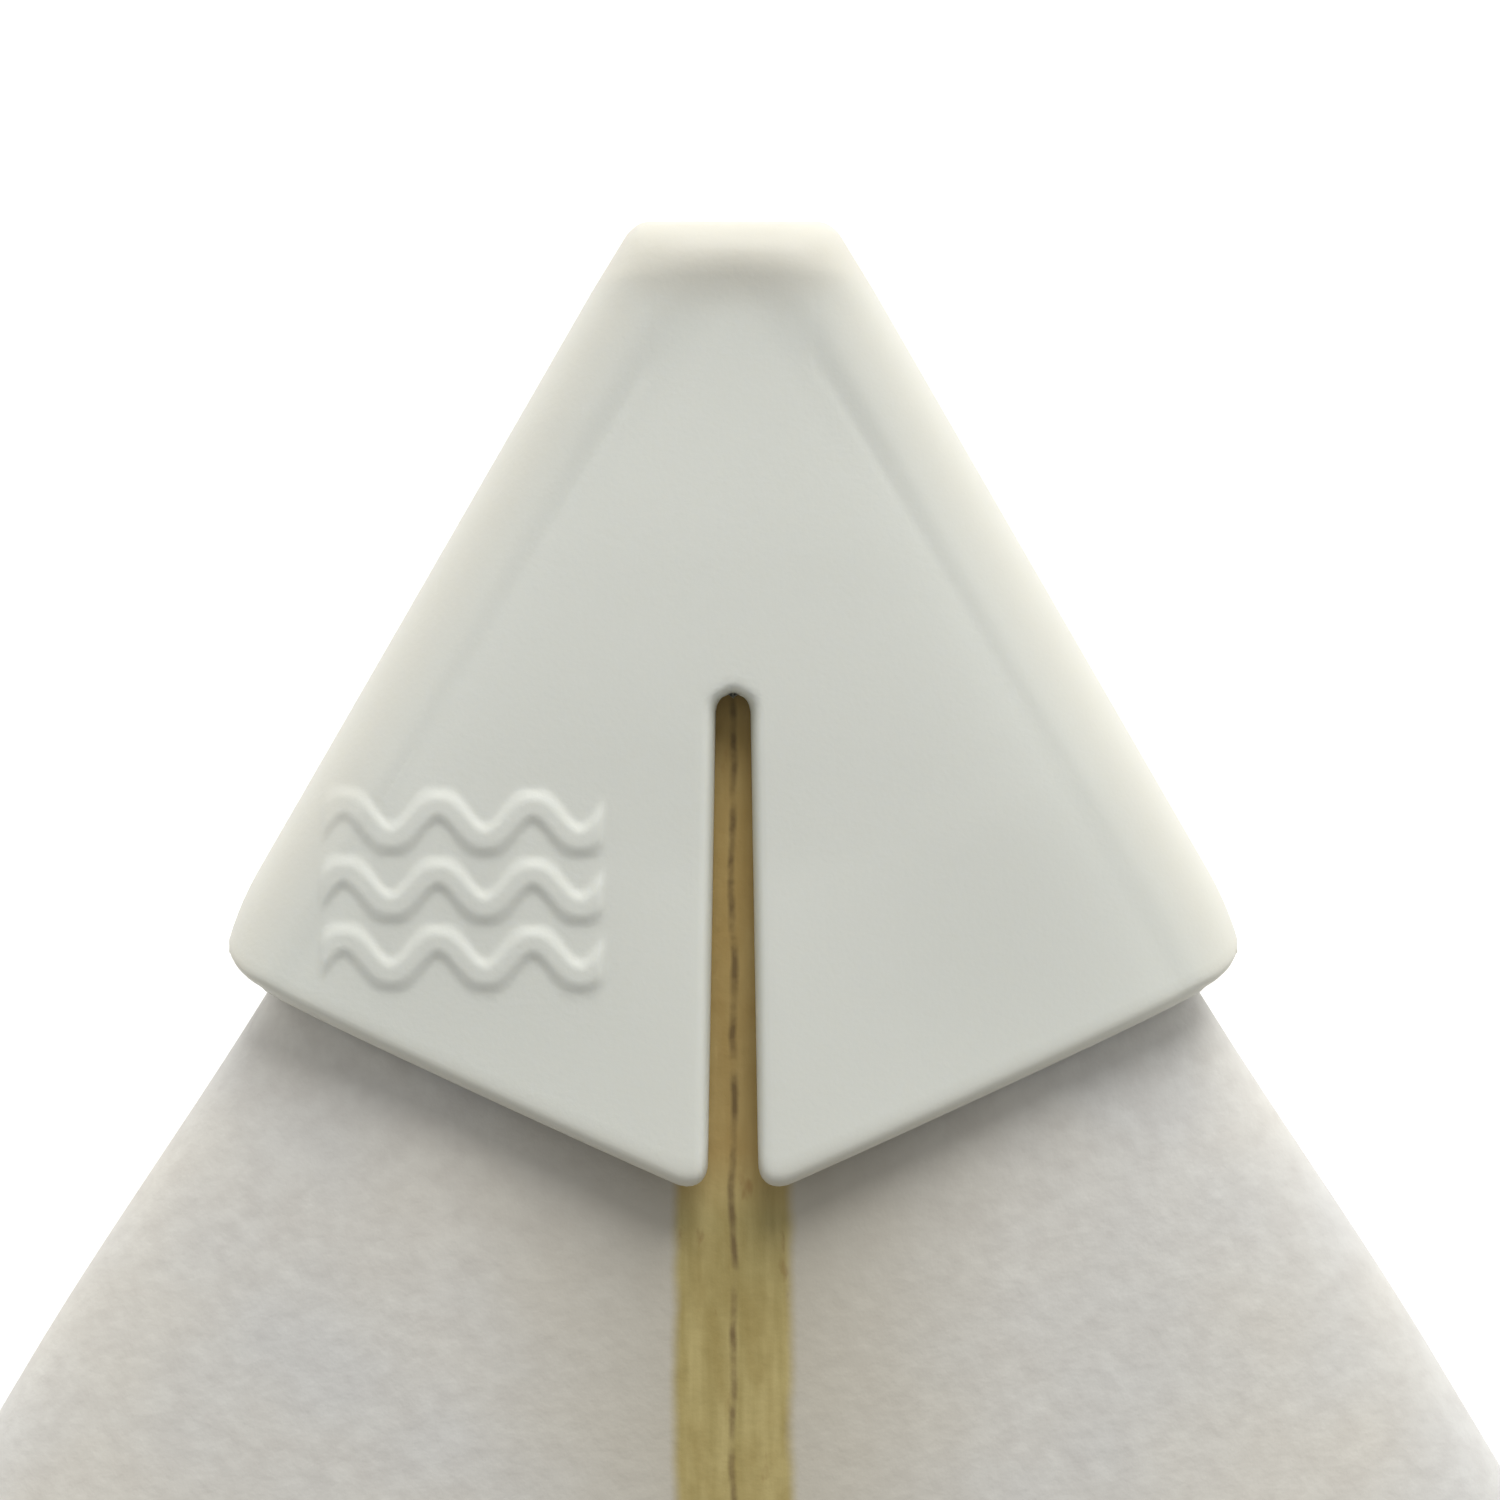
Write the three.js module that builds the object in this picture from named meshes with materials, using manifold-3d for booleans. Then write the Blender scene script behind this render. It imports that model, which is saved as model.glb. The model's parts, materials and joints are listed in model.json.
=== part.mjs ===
// A six-foot polyurethane surfboard standing deck up on its fins, with a glued-on nose guard.
//
// The board is modelled in the shaper's frame: x across, y towards the nose, z up from the
// flattest spot of the bottom, with y = 0 half way along. The last lines tip it nose down until
// the two side fins and the belly touch the ground, and put the origin under the middle.
// Lengths are in millimetres and angles in radians.

import * as THREE from "three";
import { mergeVertices } from "three/addons/utils/BufferGeometryUtils.js";
import Module from "manifold-3d";

const wasm = await Module();
wasm.setup();

// ---------------------------------------------------------------- driving dimensions

const LENGTH = 1830;
const HALF = LENGTH / 2;

// Shaping templates, each a list of [distance from the nose, value].
const OUTLINE = [[0, 2.2], [42, 28.9], [62, 42.2], [100, 64.5], [150, 88.5], [305, 150], [600, 223],
  [880, 251], [1230, 229], [1525, 173], [1700, 117], [LENGTH, 66]];
const THICKNESS = [[0, 12], [62, 18], [305, 37], [610, 56], [860, 63], [1220, 58], [1525, 43],
  [1720, 26], [LENGTH, 14]];
// Share of the thickness that lies under the widest line of the rail: round rails at the nose,
// low ones with a hard edge at the tail.
const RAIL_LINE = [[0, 0.5], [400, 0.46], [915, 0.42], [1400, 0.3], [LENGTH, 0.22]];
const BOTTOM_SQUARENESS = [[0, 2.6], [400, 3.6], [915, 5], [1400, 7], [LENGTH, 9]];
const DECK_SQUARENESS = 2.5;

const NOSE_ROCKER = 130;
const TAIL_ROCKER = 62;
const ROCKER_POWER = 2.1;
const LOWEST_SPOT = -50;
const NOSE_ROUNDING = 6;
const TAIL_CORNER = 26;
const TAIL_EDGE = 7;

const SKIN = 1;
const GLUE_GAP = 0.3;
const LAP = 42;
// The bottom skin's ends are this much further in than the lap is wide.
const LAP_END = { tail: 8, nose: 52 };
const PLY = 3.1;
const GLUE_LINE = 0.4;
const STRINGER_HALF = 3.4;
const FOAM_GAP = 0.2;

const GUARD = {
  tipHalf: 5.9,
  sideSlope: 0.593,
  sideLength: 41.5,
  cornerHalf: 30.4,
  length: 57.6,
  pointHalf: 3.1,
  ahead: 3.2,
  tipRound: 0.22,
  tipLength: 3,
  wall: 2.9,
  bedding: 0.7,
  lip: 9,
  slotTop: 28,
  slotHalfTop: 1,
  slotHalfMouth: 1.6,
};
const ADHESIVE = { bottom: 0.2, top: 0.5, inset: 3, slotInset: 1, overRail: 3 };

// A fin's edges are curves from its base to its tip, by two handles each: [forwards, down].
const FIN = {
  base: 110,
  depth: 116,
  sweep: -45,
  leading: [[37, -54], [5, -107]],
  trailing: [[-24, -30], [-41, -86]],
  thick: 6.8,
  tipThick: 1.2,
  flatInset: 0.3,
  gap: 0.7,
  rows: 14,
  columns: 10,
};
const TAB = { long: 22, wide: 4.6, deep: 13, root: 3, spots: [30, -22] };
const PLUG = { radius: 15, deep: 17, slotWide: 5.2, slotLong: 22.8, slotDeep: 14 };
const SCREW = {
  radius: 2.4,
  long: 8.5,
  chamfer: 0.4,
  bore: 2.7,
  hex: 1.45,
  hexDeep: 3,
  lean: THREE.MathUtils.degToRad(135),
  tipOff: 2.5,
  tipDeep: 6.9,
};
const SIDE_FIN = {
  fromTail: 280,
  fromRail: 34,
  cant: THREE.MathUtils.degToRad(6.5),
  toe: THREE.MathUtils.degToRad(3),
};
const CENTRE_FIN = { fromTail: 89 };

const LEASH = {
  x: 21,
  fromTail: 64,
  flange: 15,
  flangeThick: 2,
  cup: 13,
  bore: 10.5,
  deep: 15,
  floor: 2,
  proud: 0.4,
};
const LEASH_BAR = { radius: 2, long: 25, under: 4.6, clearance: 0.3 };

// How far a cutter reaches past the surface it cuts, and past the whole board.
const CUT = 6;
const FAR = 400;

// Where the board's sections lie: distances from the nose and from the tail, and the spans between.
const NOSE_STEPS = [0, 0.8, 3, 6.5, 14, 24, 34, 45, 57, 72];
const TAIL_STEPS = [0, 0.8, 3, 7, 14, 26];
const MIDDLE_SPANS = 18;
const HULL_SIDES = 24;
const GUARD_SIDES = 28;
// Distances of the guard's sections behind its tip, close together round the blunt end.
const GUARD_STEPS = [0, 0.5, 1.4, 3, 9, 18, 28, 38, 48, 60];

// ---------------------------------------------------------------- solids and meshes

/** A closed geometry as a manifold solid, placed by a matrix. */
function solid(geometry, matrix) {
  const bare = new THREE.BufferGeometry();
  bare.setAttribute("position", geometry.getAttribute("position").clone());
  bare.setIndex(geometry.index);
  if (matrix) bare.applyMatrix4(matrix);
  const merged = mergeVertices(bare, 1e-4);
  const index = Array.from(merged.index.array);
  const kept = [];
  for (let i = 0; i < index.length; i += 3) {
    const [a, b, c] = index.slice(i, i + 3);
    if (a !== b && b !== c && c !== a) kept.push(a, b, c);
  }
  return new wasm.Manifold(new wasm.Mesh({
    numProp: 3,
    vertProperties: merged.attributes.position.array,
    triVerts: new Uint32Array(kept),
  }));
}

/** A manifold solid as a flat-shaded geometry. */
function geometryOf(manifold) {
  const { vertProperties, triVerts } = manifold.getMesh();
  const geometry = new THREE.BufferGeometry();
  geometry.setAttribute("position", new THREE.BufferAttribute(vertProperties, 3));
  geometry.setIndex(new THREE.BufferAttribute(triVerts, 1));
  const flat = geometry.toNonIndexed();
  flat.computeVertexNormals();
  return flat;
}

/** Triangles over closed rings of points. An end ring either folds shut or gets a cap. */
function loft(rings, caps = false) {
  const points = [];
  const sides = rings[0].length;
  const add = (...corners) => corners.forEach((p) => points.push(p.x, p.y, p.z));
  for (let k = 0; k + 1 < rings.length; k++) {
    for (let j = 0; j < sides; j++) {
      const next = (j + 1) % sides;
      add(rings[k][j], rings[k + 1][j], rings[k][next]);
      add(rings[k][next], rings[k + 1][j], rings[k + 1][next]);
    }
  }
  if (caps) {
    for (const [ring, turn] of [[rings[0], 1], [rings[rings.length - 1], -1]]) {
      const middle = ring.reduce((sum, p) => sum.add(p), new THREE.Vector3()).divideScalar(sides);
      for (let j = 0; j < sides; j++) {
        const pair = [ring[j], ring[(j + 1) % sides]];
        add(middle, ...(turn > 0 ? pair : pair.reverse()));
      }
    }
  }
  return new THREE.BufferGeometry().setAttribute("position", new THREE.Float32BufferAttribute(points, 3));
}

/** A plan shape extruded straight up from z = low to z = high. */
function prism(shape, low, high) {
  const settings = { depth: high - low, bevelEnabled: false, curveSegments: 6 };
  return solid(new THREE.ExtrudeGeometry(shape, settings), new THREE.Matrix4().makeTranslation(0, 0, low));
}

function box(size, centre) {
  const geometry = new THREE.BoxGeometry(...size);
  return solid(geometry, new THREE.Matrix4().makeTranslation(...centre));
}

/** A cylinder along z from low to high. */
function post(radius, low, high, sides = 28) {
  const geometry = new THREE.CylinderGeometry(radius, radius, high - low, sides);
  const upright = new THREE.Matrix4().makeRotationX(Math.PI / 2);
  return solid(geometry, upright.premultiply(new THREE.Matrix4().makeTranslation(0, 0, (low + high) / 2)));
}

// ---------------------------------------------------------------- the shape of the board

/** Smooth curve through a template's points, at a distance from the nose. */
function faired(template, distance) {
  const last = template.length - 1;
  const i = Math.min(Math.max(template.findIndex(([d]) => d > distance) - 1, 0), last - 1);
  const k = distance >= template[last][0] ? last - 1 : i;
  const slope = (n) => {
    const [before, after] = [template[Math.max(n - 1, 0)], template[Math.min(n + 1, last)]];
    return (after[1] - before[1]) / (after[0] - before[0]);
  };
  const [[d0, v0], [d1, v1]] = [template[k], template[k + 1]];
  const span = d1 - d0;
  const t = THREE.MathUtils.clamp((distance - d0) / span, 0, 1);
  const [m0, m1] = [slope(k) * span, slope(k + 1) * span];
  return v0 + t * (m0 + t * (3 * (v1 - v0) - 2 * m0 - m1 + t * (2 * (v0 - v1) + m0 + m1)));
}

/** 0 at an end of the board and 1 from one radius inwards, along a quarter circle. */
const roundOff = (inwards, radius) => Math.sqrt(1 - (1 - THREE.MathUtils.clamp(inwards / radius, 0, 1)) ** 2);

function halfWidth(y) {
  const fromNose = HALF - y;
  const fromTail = LENGTH - fromNose;
  const corner = TAIL_CORNER * (1 - roundOff(fromTail, TAIL_CORNER));
  return faired(OUTLINE, fromNose) * roundOff(fromNose, NOSE_ROUNDING) - corner;
}

function thickness(y) {
  const fromNose = HALF - y;
  const fromTail = LENGTH - fromNose;
  return faired(THICKNESS, fromNose) * roundOff(fromNose, NOSE_ROUNDING) * roundOff(fromTail, TAIL_EDGE);
}

/** Height of the bottom's centre line before the ends are rounded off. */
function rocker(y) {
  const ahead = (y - LOWEST_SPOT) / (HALF - LOWEST_SPOT);
  const behind = (LOWEST_SPOT - y) / (HALF + LOWEST_SPOT);
  return y > LOWEST_SPOT ? NOSE_ROCKER * ahead ** ROCKER_POWER : TAIL_ROCKER * behind ** ROCKER_POWER;
}

const railShare = (y) => faired(RAIL_LINE, HALF - y);
const bottomSquareness = (y) => faired(BOTTOM_SQUARENESS, HALF - y);

/** Height of the rail's widest line. */
const railHeight = (y) => rocker(y) + railShare(y) * faired(THICKNESS, HALF - y);

function bottomHeight(x, y) {
  const power = bottomSquareness(y);
  const drop = (1 - (Math.abs(x) / halfWidth(y)) ** power) ** (1 / power);
  return railHeight(y) - railShare(y) * thickness(y) * drop;
}

function deckHeight(x, y) {
  const rise = (1 - (Math.abs(x) / halfWidth(y)) ** DECK_SQUARENESS) ** (1 / DECK_SQUARENESS);
  return railHeight(y) + (1 - railShare(y)) * thickness(y) * rise;
}

/** A size taken in by an inset, or let out where it is negative, that never passes zero. */
function takenIn(size, inset) {
  return inset === 0 ? size : size - inset * Math.min(1, size / (4 * Math.abs(inset)));
}

/** Points round a section: a deck half and a bottom half that meet in the rails. */
function ring(y, half, above, below, sides) {
  return Array.from({ length: sides }, (_, j) => {
    const angle = (2 * Math.PI * j) / sides;
    const across = 4 * j % sides === 0 && 2 * j % sides !== 0 ? 0 : Math.abs(Math.cos(angle)) ** 0.8;
    const upper = 2 * j < sides;
    const power = upper ? DECK_SQUARENESS : bottomSquareness(y);
    const height = 2 * j % sides === 0 ? 0 : (1 - across ** power) ** (1 / power);
    const z = railHeight(y) + height * (upper ? above : -below);
    return new THREE.Vector3(Math.sign(Math.cos(angle)) * half * across, y, z);
  });
}

/** One section of the board, taken in all round by an inset. */
function section(y, inset, sides) {
  const above = takenIn((1 - railShare(y)) * thickness(y), inset);
  const below = takenIn(railShare(y) * thickness(y), inset);
  return ring(y * (1 - inset / HALF), takenIn(halfWidth(y), inset), above, below, sides);
}

/** The board's sections from tail to nose, closer together towards both ends. */
function stations() {
  const [first, last] = [TAIL_STEPS.at(-1) - HALF, HALF - NOSE_STEPS.at(-1)];
  const middle = Array.from({ length: MIDDLE_SPANS - 1 }, (_, k) => {
    const share = (k + 1) / MIDDLE_SPANS;
    return THREE.MathUtils.lerp(first, last, 0.5 * share + 0.25 * (1 - Math.cos(Math.PI * share)));
  });
  return [...TAIL_STEPS.map((step) => step - HALF), ...middle, ...noseStations()];
}

const noseStations = () => NOSE_STEPS.map((step) => HALF - step).reverse();

/** The whole board taken in by an inset. */
const hull = (inset) => solid(loft(stations().map((y) => section(y, inset, HULL_SIDES))));

// ---------------------------------------------------------------- fins

/** Places a fin, its plugs and its screws on the bottom, z pointing into the board. */
function finSeat(x, y, cant, toe) {
  const seat = new THREE.Group();
  const reach = 20;
  const pitch = Math.atan2(bottomHeight(x, y + reach) - bottomHeight(x, y - reach), 2 * reach);
  seat.position.set(x, y, bottomHeight(x, y));
  seat.rotation.set(pitch, -Math.sign(x) * cant, Math.sign(x) * toe, "ZXY");
  seat.updateMatrix();
  return seat;
}

/** Thickness of a fin's foil at a share of its chord, against its thickest. */
function foil(share) {
  const c = THREE.MathUtils.clamp(share, 0, 1);
  return 10 * (0.2969 * Math.sqrt(c) - 0.126 * c - 0.3516 * c ** 2 + 0.2843 * c ** 3 - 0.1036 * c ** 4);
}

/** One edge of a fin, from its base to the tip that both edges share. */
function finEdge(base, handles) {
  const points = [[base, 0], ...handles, [FIN.sweep, -FIN.depth]];
  return new THREE.CubicBezierCurve(...points.map(([y, z]) => new THREE.Vector2(y, z)));
}

/** A fin's blade. A side fin, where outboard is +1 or -1, is flat inboard; the centre one is even. */
function finBlade(outboard) {
  const leading = finEdge(FIN.base / 2, FIN.leading);
  const trailing = finEdge(-FIN.base / 2, FIN.trailing);
  const rings = [];
  for (let row = 0; row <= FIN.rows; row++) {
    const down = Math.sin((Math.PI / 2) * (row / FIN.rows));
    const [front, back] = [leading.getPoint(down), trailing.getPoint(down)];
    const thick = row === FIN.rows ? 0 : THREE.MathUtils.lerp(FIN.thick, FIN.tipThick, down);
    const ring = [];
    for (let j = 0; j < 2 * FIN.columns; j++) {
      const share = (1 - Math.cos((Math.PI * j) / FIN.columns)) / 2;
      const outer = j < FIN.columns;
      const at = front.clone().lerp(back, share);
      const bulge = thick * foil(share);
      const even = (outer ? 0.5 : -0.5) * bulge;
      const flat = outboard * ((outer ? bulge : 0) - FIN.thick / 2 + FIN.flatInset);
      ring.push(new THREE.Vector3(outboard ? flat : even, at.x, at.y - FIN.gap));
    }
    rings.push(outboard < 0 ? ring : ring.reverse());
  }
  return solid(loft(rings, true));
}

/** A fin's blade and its two tabs, which start inside the blade. */
function fin(outboard) {
  const size = [TAB.wide, TAB.long, TAB.deep + TAB.root];
  const tabs = TAB.spots.map((y) => box(size, [0, y, (TAB.deep - TAB.root) / 2]));
  return geometryOf(tabs.reduce((made, tab) => made.add(tab), finBlade(outboard)));
}

// Where a plug's grub screw lies: it leans in from the plug's face and points at the tab.
const screwPlace = (y, side) => new THREE.Matrix4()
  .makeRotationY(side * SCREW.lean)
  .setPosition(side * SCREW.tipOff, y, SCREW.tipDeep);

/** A round plug with a slot for a tab and a slanting bore for its screw, sanded flush with the bottom. */
function plug(y, side, seat, board) {
  const place = new THREE.Matrix4().makeTranslation(0, y, 0);
  const body = post(PLUG.radius, -CUT, PLUG.deep).transform(place.elements);
  const slot = box([PLUG.slotWide, PLUG.slotLong, 2 * PLUG.slotDeep], [0, y, 0]);
  const bore = post(SCREW.bore, 0, SCREW.long + 2 * CUT, 16).transform(screwPlace(y, side).elements);
  const flush = board.transform(seat.matrix.clone().invert().elements);
  return geometryOf(body.intersect(flush).subtract(slot).subtract(bore));
}

/** The room that a plug needs in the foam and the skin, with space for its resin. */
const plugPocket = (y) => post(PLUG.radius + GLUE_GAP, -CUT, PLUG.deep + GLUE_GAP)
  .transform(new THREE.Matrix4().makeTranslation(0, y, 0).elements);

/** A cone-pointed grub screw along z, its tip at the origin and a hex socket in its head. */
function screw() {
  const { radius, long, chamfer, hex, hexDeep } = SCREW;
  const head = [[radius, long - chamfer], [radius - chamfer, long]];
  const profile = [[0, 0], [radius, radius], ...head, [0, long]];
  const turned = new THREE.LatheGeometry(profile.map(([r, z]) => new THREE.Vector2(r, z)), 16);
  const upright = new THREE.Matrix4().makeRotationX(Math.PI / 2);
  return geometryOf(solid(turned, upright).subtract(post(hex, long - hexDeep, long + CUT, 6)));
}

// ---------------------------------------------------------------- leash plug

function leashCup() {
  const { flange, flangeThick, cup, bore, deep, floor, proud } = LEASH;
  const profile = [[0, -deep], [cup, -deep], [cup, -flangeThick], [flange, -flangeThick], [flange, proud],
    [bore, proud], [bore, floor - deep], [0, floor - deep]];
  const turned = new THREE.LatheGeometry(profile.map(([r, z]) => new THREE.Vector2(r, z)), 24);
  const upright = new THREE.Matrix4().makeRotationX(Math.PI / 2);
  return geometryOf(solid(turned, upright).subtract(crossBar(LEASH_BAR.clearance, CUT)));
}

/** The bar across the cup, or with an allowance the hole that it is pressed through. */
function crossBar(allowance = 0, extra = 0) {
  const { radius, long, under } = LEASH_BAR;
  const lying = new THREE.Matrix4().makeRotationY(Math.PI / 2).setPosition(0, 0, -under);
  return post(radius + allowance, -long / 2 - extra, long / 2 + extra, 20).transform(lying.elements);
}

const leashPocket = () => post(LEASH.flange + GLUE_GAP, -LEASH.flangeThick - GLUE_GAP, CUT, 24)
  .add(post(LEASH.cup + GLUE_GAP, -LEASH.deep - GLUE_GAP, 0, 24));

/** Where the leash plug sits on the deck, beside the stringer, z pointing out of the board. */
function leashSeat() {
  const seat = new THREE.Group();
  const [x, y, reach] = [LEASH.x, -HALF + LEASH.fromTail, 12];
  seat.position.set(x, y, deckHeight(x, y));
  seat.rotation.x = Math.atan2(deckHeight(x, y + reach) - deckHeight(x, y - reach), 2 * reach);
  seat.updateMatrix();
  return seat;
}

// ---------------------------------------------------------------- nose guard

/** The guard's outline from above, taken in by an inset: a kite with a blunt tip. */
function guardShape(inset) {
  const top = HALF + GUARD.ahead - inset;
  const shape = new THREE.Shape();
  const corner = GUARD.cornerHalf - inset;
  const shoulder = HALF + GUARD.ahead - GUARD.sideLength;
  const point = HALF + GUARD.ahead - GUARD.length + inset;
  shape.moveTo(0, top);
  for (const side of [-1, 1]) {
    const tip = side * (GUARD.tipHalf + 3 - inset / 2);
    const corners = [[tip, top], [side * (corner + 1), shoulder], [side * corner, shoulder - 4],
      [side * GUARD.pointHalf, point]];
    const ordered = side < 0 ? corners : corners.reverse();
    ordered.forEach(([x, y]) => shape.lineTo(x, y));
  }
  return shape;
}

/** The slot in the guard's deck side, which lets its two flaps follow the deck. */
function slotShape(allowance) {
  const end = HALF + GUARD.ahead - GUARD.slotTop + allowance;
  const mouth = HALF + GUARD.ahead - GUARD.length - 2;
  const [narrow, wide] = [GUARD.slotHalfTop + allowance, GUARD.slotHalfMouth + allowance];
  const shape = new THREE.Shape();
  shape.moveTo(-narrow, end - narrow);
  shape.absarc(0, end - narrow, narrow, Math.PI, 0, true);
  shape.lineTo(wide, mouth + 4);
  shape.quadraticCurveTo(wide, mouth + 2, wide + 3, mouth);
  shape.lineTo(-wide - 3, mouth);
  shape.quadraticCurveTo(-wide, mouth + 2, -wide, mouth + 4);
  return shape;
}

/** The board's nose let out by an allowance. */
function noseForm(allowance) {
  return solid(loft(noseStations().map((y) => section(y, -allowance, HULL_SIDES)), true));
}

/** The guard before it is trimmed: straight sides and a blunt tip, one wall over the board. */
function guardBlank() {
  const rings = GUARD_STEPS.map((back) => {
    const y = HALF + GUARD.ahead - back;
    const round = 1 - GUARD.tipRound * (1 - roundOff(back, GUARD.tipLength));
    const thick = faired(THICKNESS, Math.max(HALF - y, 0));
    const cover = GUARD.wall + GUARD.bedding;
    const above = (1 - railShare(y)) * thick + cover;
    const below = railShare(y) * thick + cover;
    const half = GUARD.tipHalf + GUARD.sideSlope * back;
    return ring(y, round * half, round * above, round * below, GUARD_SIDES);
  });
  return solid(loft(rings.reverse(), true));
}

function noseGuard() {
  const shell = guardBlank().subtract(noseForm(GUARD.bedding)).intersect(prism(guardShape(0), 0, FAR));
  const rail = railHeight(HALF - GUARD.length / 3);
  const underside = prism(guardShape(GUARD.lip), 0, rail);
  return geometryOf(shell.subtract(underside).subtract(prism(slotShape(0), rail, FAR)));
}

function noseGuardAdhesive() {
  const film = noseForm(ADHESIVE.top).subtract(noseForm(ADHESIVE.bottom));
  const lowest = railHeight(HALF - GUARD.length) + ADHESIVE.overRail;
  const top = prism(guardShape(ADHESIVE.inset), lowest, FAR);
  return geometryOf(film.intersect(top).subtract(prism(slotShape(ADHESIVE.slotInset), 0, FAR)));
}

// ---------------------------------------------------------------- core and skin

/** The bottom skin's outline: the board's own, a lap's width inside the rails. */
function panelShape(inset) {
  const steps = 30;
  const tail = LAP + LAP_END.tail - HALF;
  const nose = HALF - LAP - LAP_END.nose;
  const points = [];
  for (let k = 0; k <= steps; k++) {
    const y = THREE.MathUtils.lerp(tail, nose, (1 - Math.cos((Math.PI * k) / steps)) / 2);
    points.push(new THREE.Vector2(halfWidth(y) - LAP - inset, y));
  }
  const other = points.map((p) => new THREE.Vector2(-p.x, p.y)).reverse();
  return new THREE.Shape([...points, ...other]);
}

/** The room under the rails' widest line and inside the lap, where the bottom skin lies. */
function panel(inset) {
  const stops = [-1, -0.8, -0.6, -0.4, -0.2, 0, 0.2, 0.4, 0.6, 0.8, 1];
  const rings = stops.map((stop) => {
    const [y, rail] = [stop * HALF, railHeight(stop * HALF)];
    const corners = [[FAR, -FAR], [FAR, rail], [-FAR, rail], [-FAR, -FAR]];
    return corners.map(([x, z]) => new THREE.Vector3(x, y, z));
  });
  return prism(panelShape(inset), -FAR, FAR).intersect(solid(loft(rings, true)));
}

/** A standing slice of the whole board's length, from one x to another. */
function slab(from, to) {
  return box([to - from, 2 * LENGTH, 2 * FAR], [(from + to) / 2, 0, 0]);
}

// ---------------------------------------------------------------- assembly

function finish(color, roughness, metalness = 0) {
  return new THREE.MeshStandardMaterial({ color, roughness, metalness });
}
const MATERIALS = {
  foam: finish(0xf1efe6, 0.95),
  wood: finish(0xb79c62, 0.8),
  glue: finish(0x5a4526, 0.5),
  laminate: finish(0xd9d7d0, 0.5),
  silicone: finish(0xdcdccf, 0.55),
  adhesive: finish(0xe8e6dc, 0.9),
  fin: finish(0xe6e6e0, 0.4),
  plug: finish(0xe4e4e0, 0.5),
  steel: finish(0xb8babd, 0.3, 1),
};

function mesh(name, geometry, material) {
  const made = new THREE.Mesh(geometry, MATERIALS[material]);
  made.name = name;
  return made;
}

const board = new THREE.Group();
const outside = hull(0);
const shell = outside.subtract(hull(SKIN));
const core = hull(SKIN + GLUE_GAP);

const seats = [-1, 0, 1].map((side) => {
  const back = side ? SIDE_FIN.fromTail : CENTRE_FIN.fromTail;
  const y = -HALF + back + FIN.base / 2;
  const x = side * (halfWidth(y) - SIDE_FIN.fromRail);
  return finSeat(x, y, side ? SIDE_FIN.cant : 0, side ? SIDE_FIN.toe : 0);
});
const seatNames = ["left", "centre", "right"];

const leash = leashSeat();

// Every pocket routed into the board, in the board's own frame.
const pockets = seats.flatMap((seat) => TAB.spots.map((y) => plugPocket(y).transform(seat.matrix.elements)));
pockets.push(leashPocket().transform(leash.matrix.elements));
const routed = (piece) => pockets.reduce((left, pocket) => left.subtract(pocket), piece);

// The core is sawn lengthwise: foam, ply, glue, ply, foam.
const innerPly = STRINGER_HALF - PLY;
const innerFoam = STRINGER_HALF + FOAM_GAP;
const slices = [
  ["foam_core_left", -FAR, -innerFoam, "foam"],
  ["foam_core_right", innerFoam, FAR, "foam"],
  ["stringer_ply_left", -STRINGER_HALF, -innerPly, "wood"],
  ["stringer_ply_right", innerPly, STRINGER_HALF, "wood"],
  ["stringer_glue_line", -GLUE_LINE / 2, GLUE_LINE / 2, "glue"],
];
for (const [name, from, to, material] of slices) {
  board.add(mesh(name, geometryOf(routed(core.intersect(slab(from, to)))), material));
}

// The deck cloth wraps the rails and ends in a lap on the bottom, round the bottom skin.
board.add(
  mesh("deck_laminate", geometryOf(routed(shell.subtract(panel(0)))), "laminate"),
  mesh("bottom_laminate", geometryOf(routed(shell.intersect(panel(GLUE_GAP)))), "laminate"),
  mesh("nose_guard", noseGuard(), "silicone"),
  mesh("nose_guard_adhesive", noseGuardAdhesive(), "adhesive"),
);

seats.forEach((seat, i) => {
  const side = i - 1;
  const name = seatNames[i];
  seat.add(mesh(`fin_${name}`, fin(side), "fin"));
  TAB.spots.forEach((y, n) => {
    const end = ["front", "rear"][n];
    // The centre fin's screws are on its right, and a side fin's face the stringer.
    const screwSide = side ? -side : 1;
    const grub = mesh(`fin_screw_${name}_${end}`, screw(), "steel");
    grub.applyMatrix4(screwPlace(y, screwSide));
    seat.add(mesh(`fin_plug_${name}_${end}`, plug(y, screwSide, seat, outside), "plug"), grub);
  });
  board.add(seat);
});

leash.add(mesh("leash_cup", leashCup(), "plug"), mesh("leash_bar", geometryOf(crossBar()), "steel"));
board.add(leash);

// Tip the board nose down about the side fins until its belly touches the ground.
board.updateMatrixWorld(true);
const finPoints = seats[0].children[0].geometry.getAttribute("position");
let finTip = new THREE.Vector3(0, 0, Infinity);
for (let i = 0; i < finPoints.count; i++) {
  const p = new THREE.Vector3().fromBufferAttribute(finPoints, i).applyMatrix4(seats[0].matrixWorld);
  if (p.z < finTip.z) finTip = p;
}
let stance = Math.PI / 2;
for (let y = 0; y < HALF; y += 5) {
  stance = Math.min(stance, Math.atan2(bottomHeight(0, y) - finTip.z, y - finTip.y));
}
board.rotation.x = -stance;
board.updateMatrixWorld(true);
const bounds = new THREE.Box3().setFromObject(board, true);
const middle = bounds.getCenter(new THREE.Vector3());
board.position.set(-middle.x, -middle.y, -bounds.min.z);

const surfboard = new THREE.Group();
surfboard.add(board);

export default surfboard;
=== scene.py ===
import json
import math

import bmesh
import bpy
from mathutils import Matrix, Vector


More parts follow.
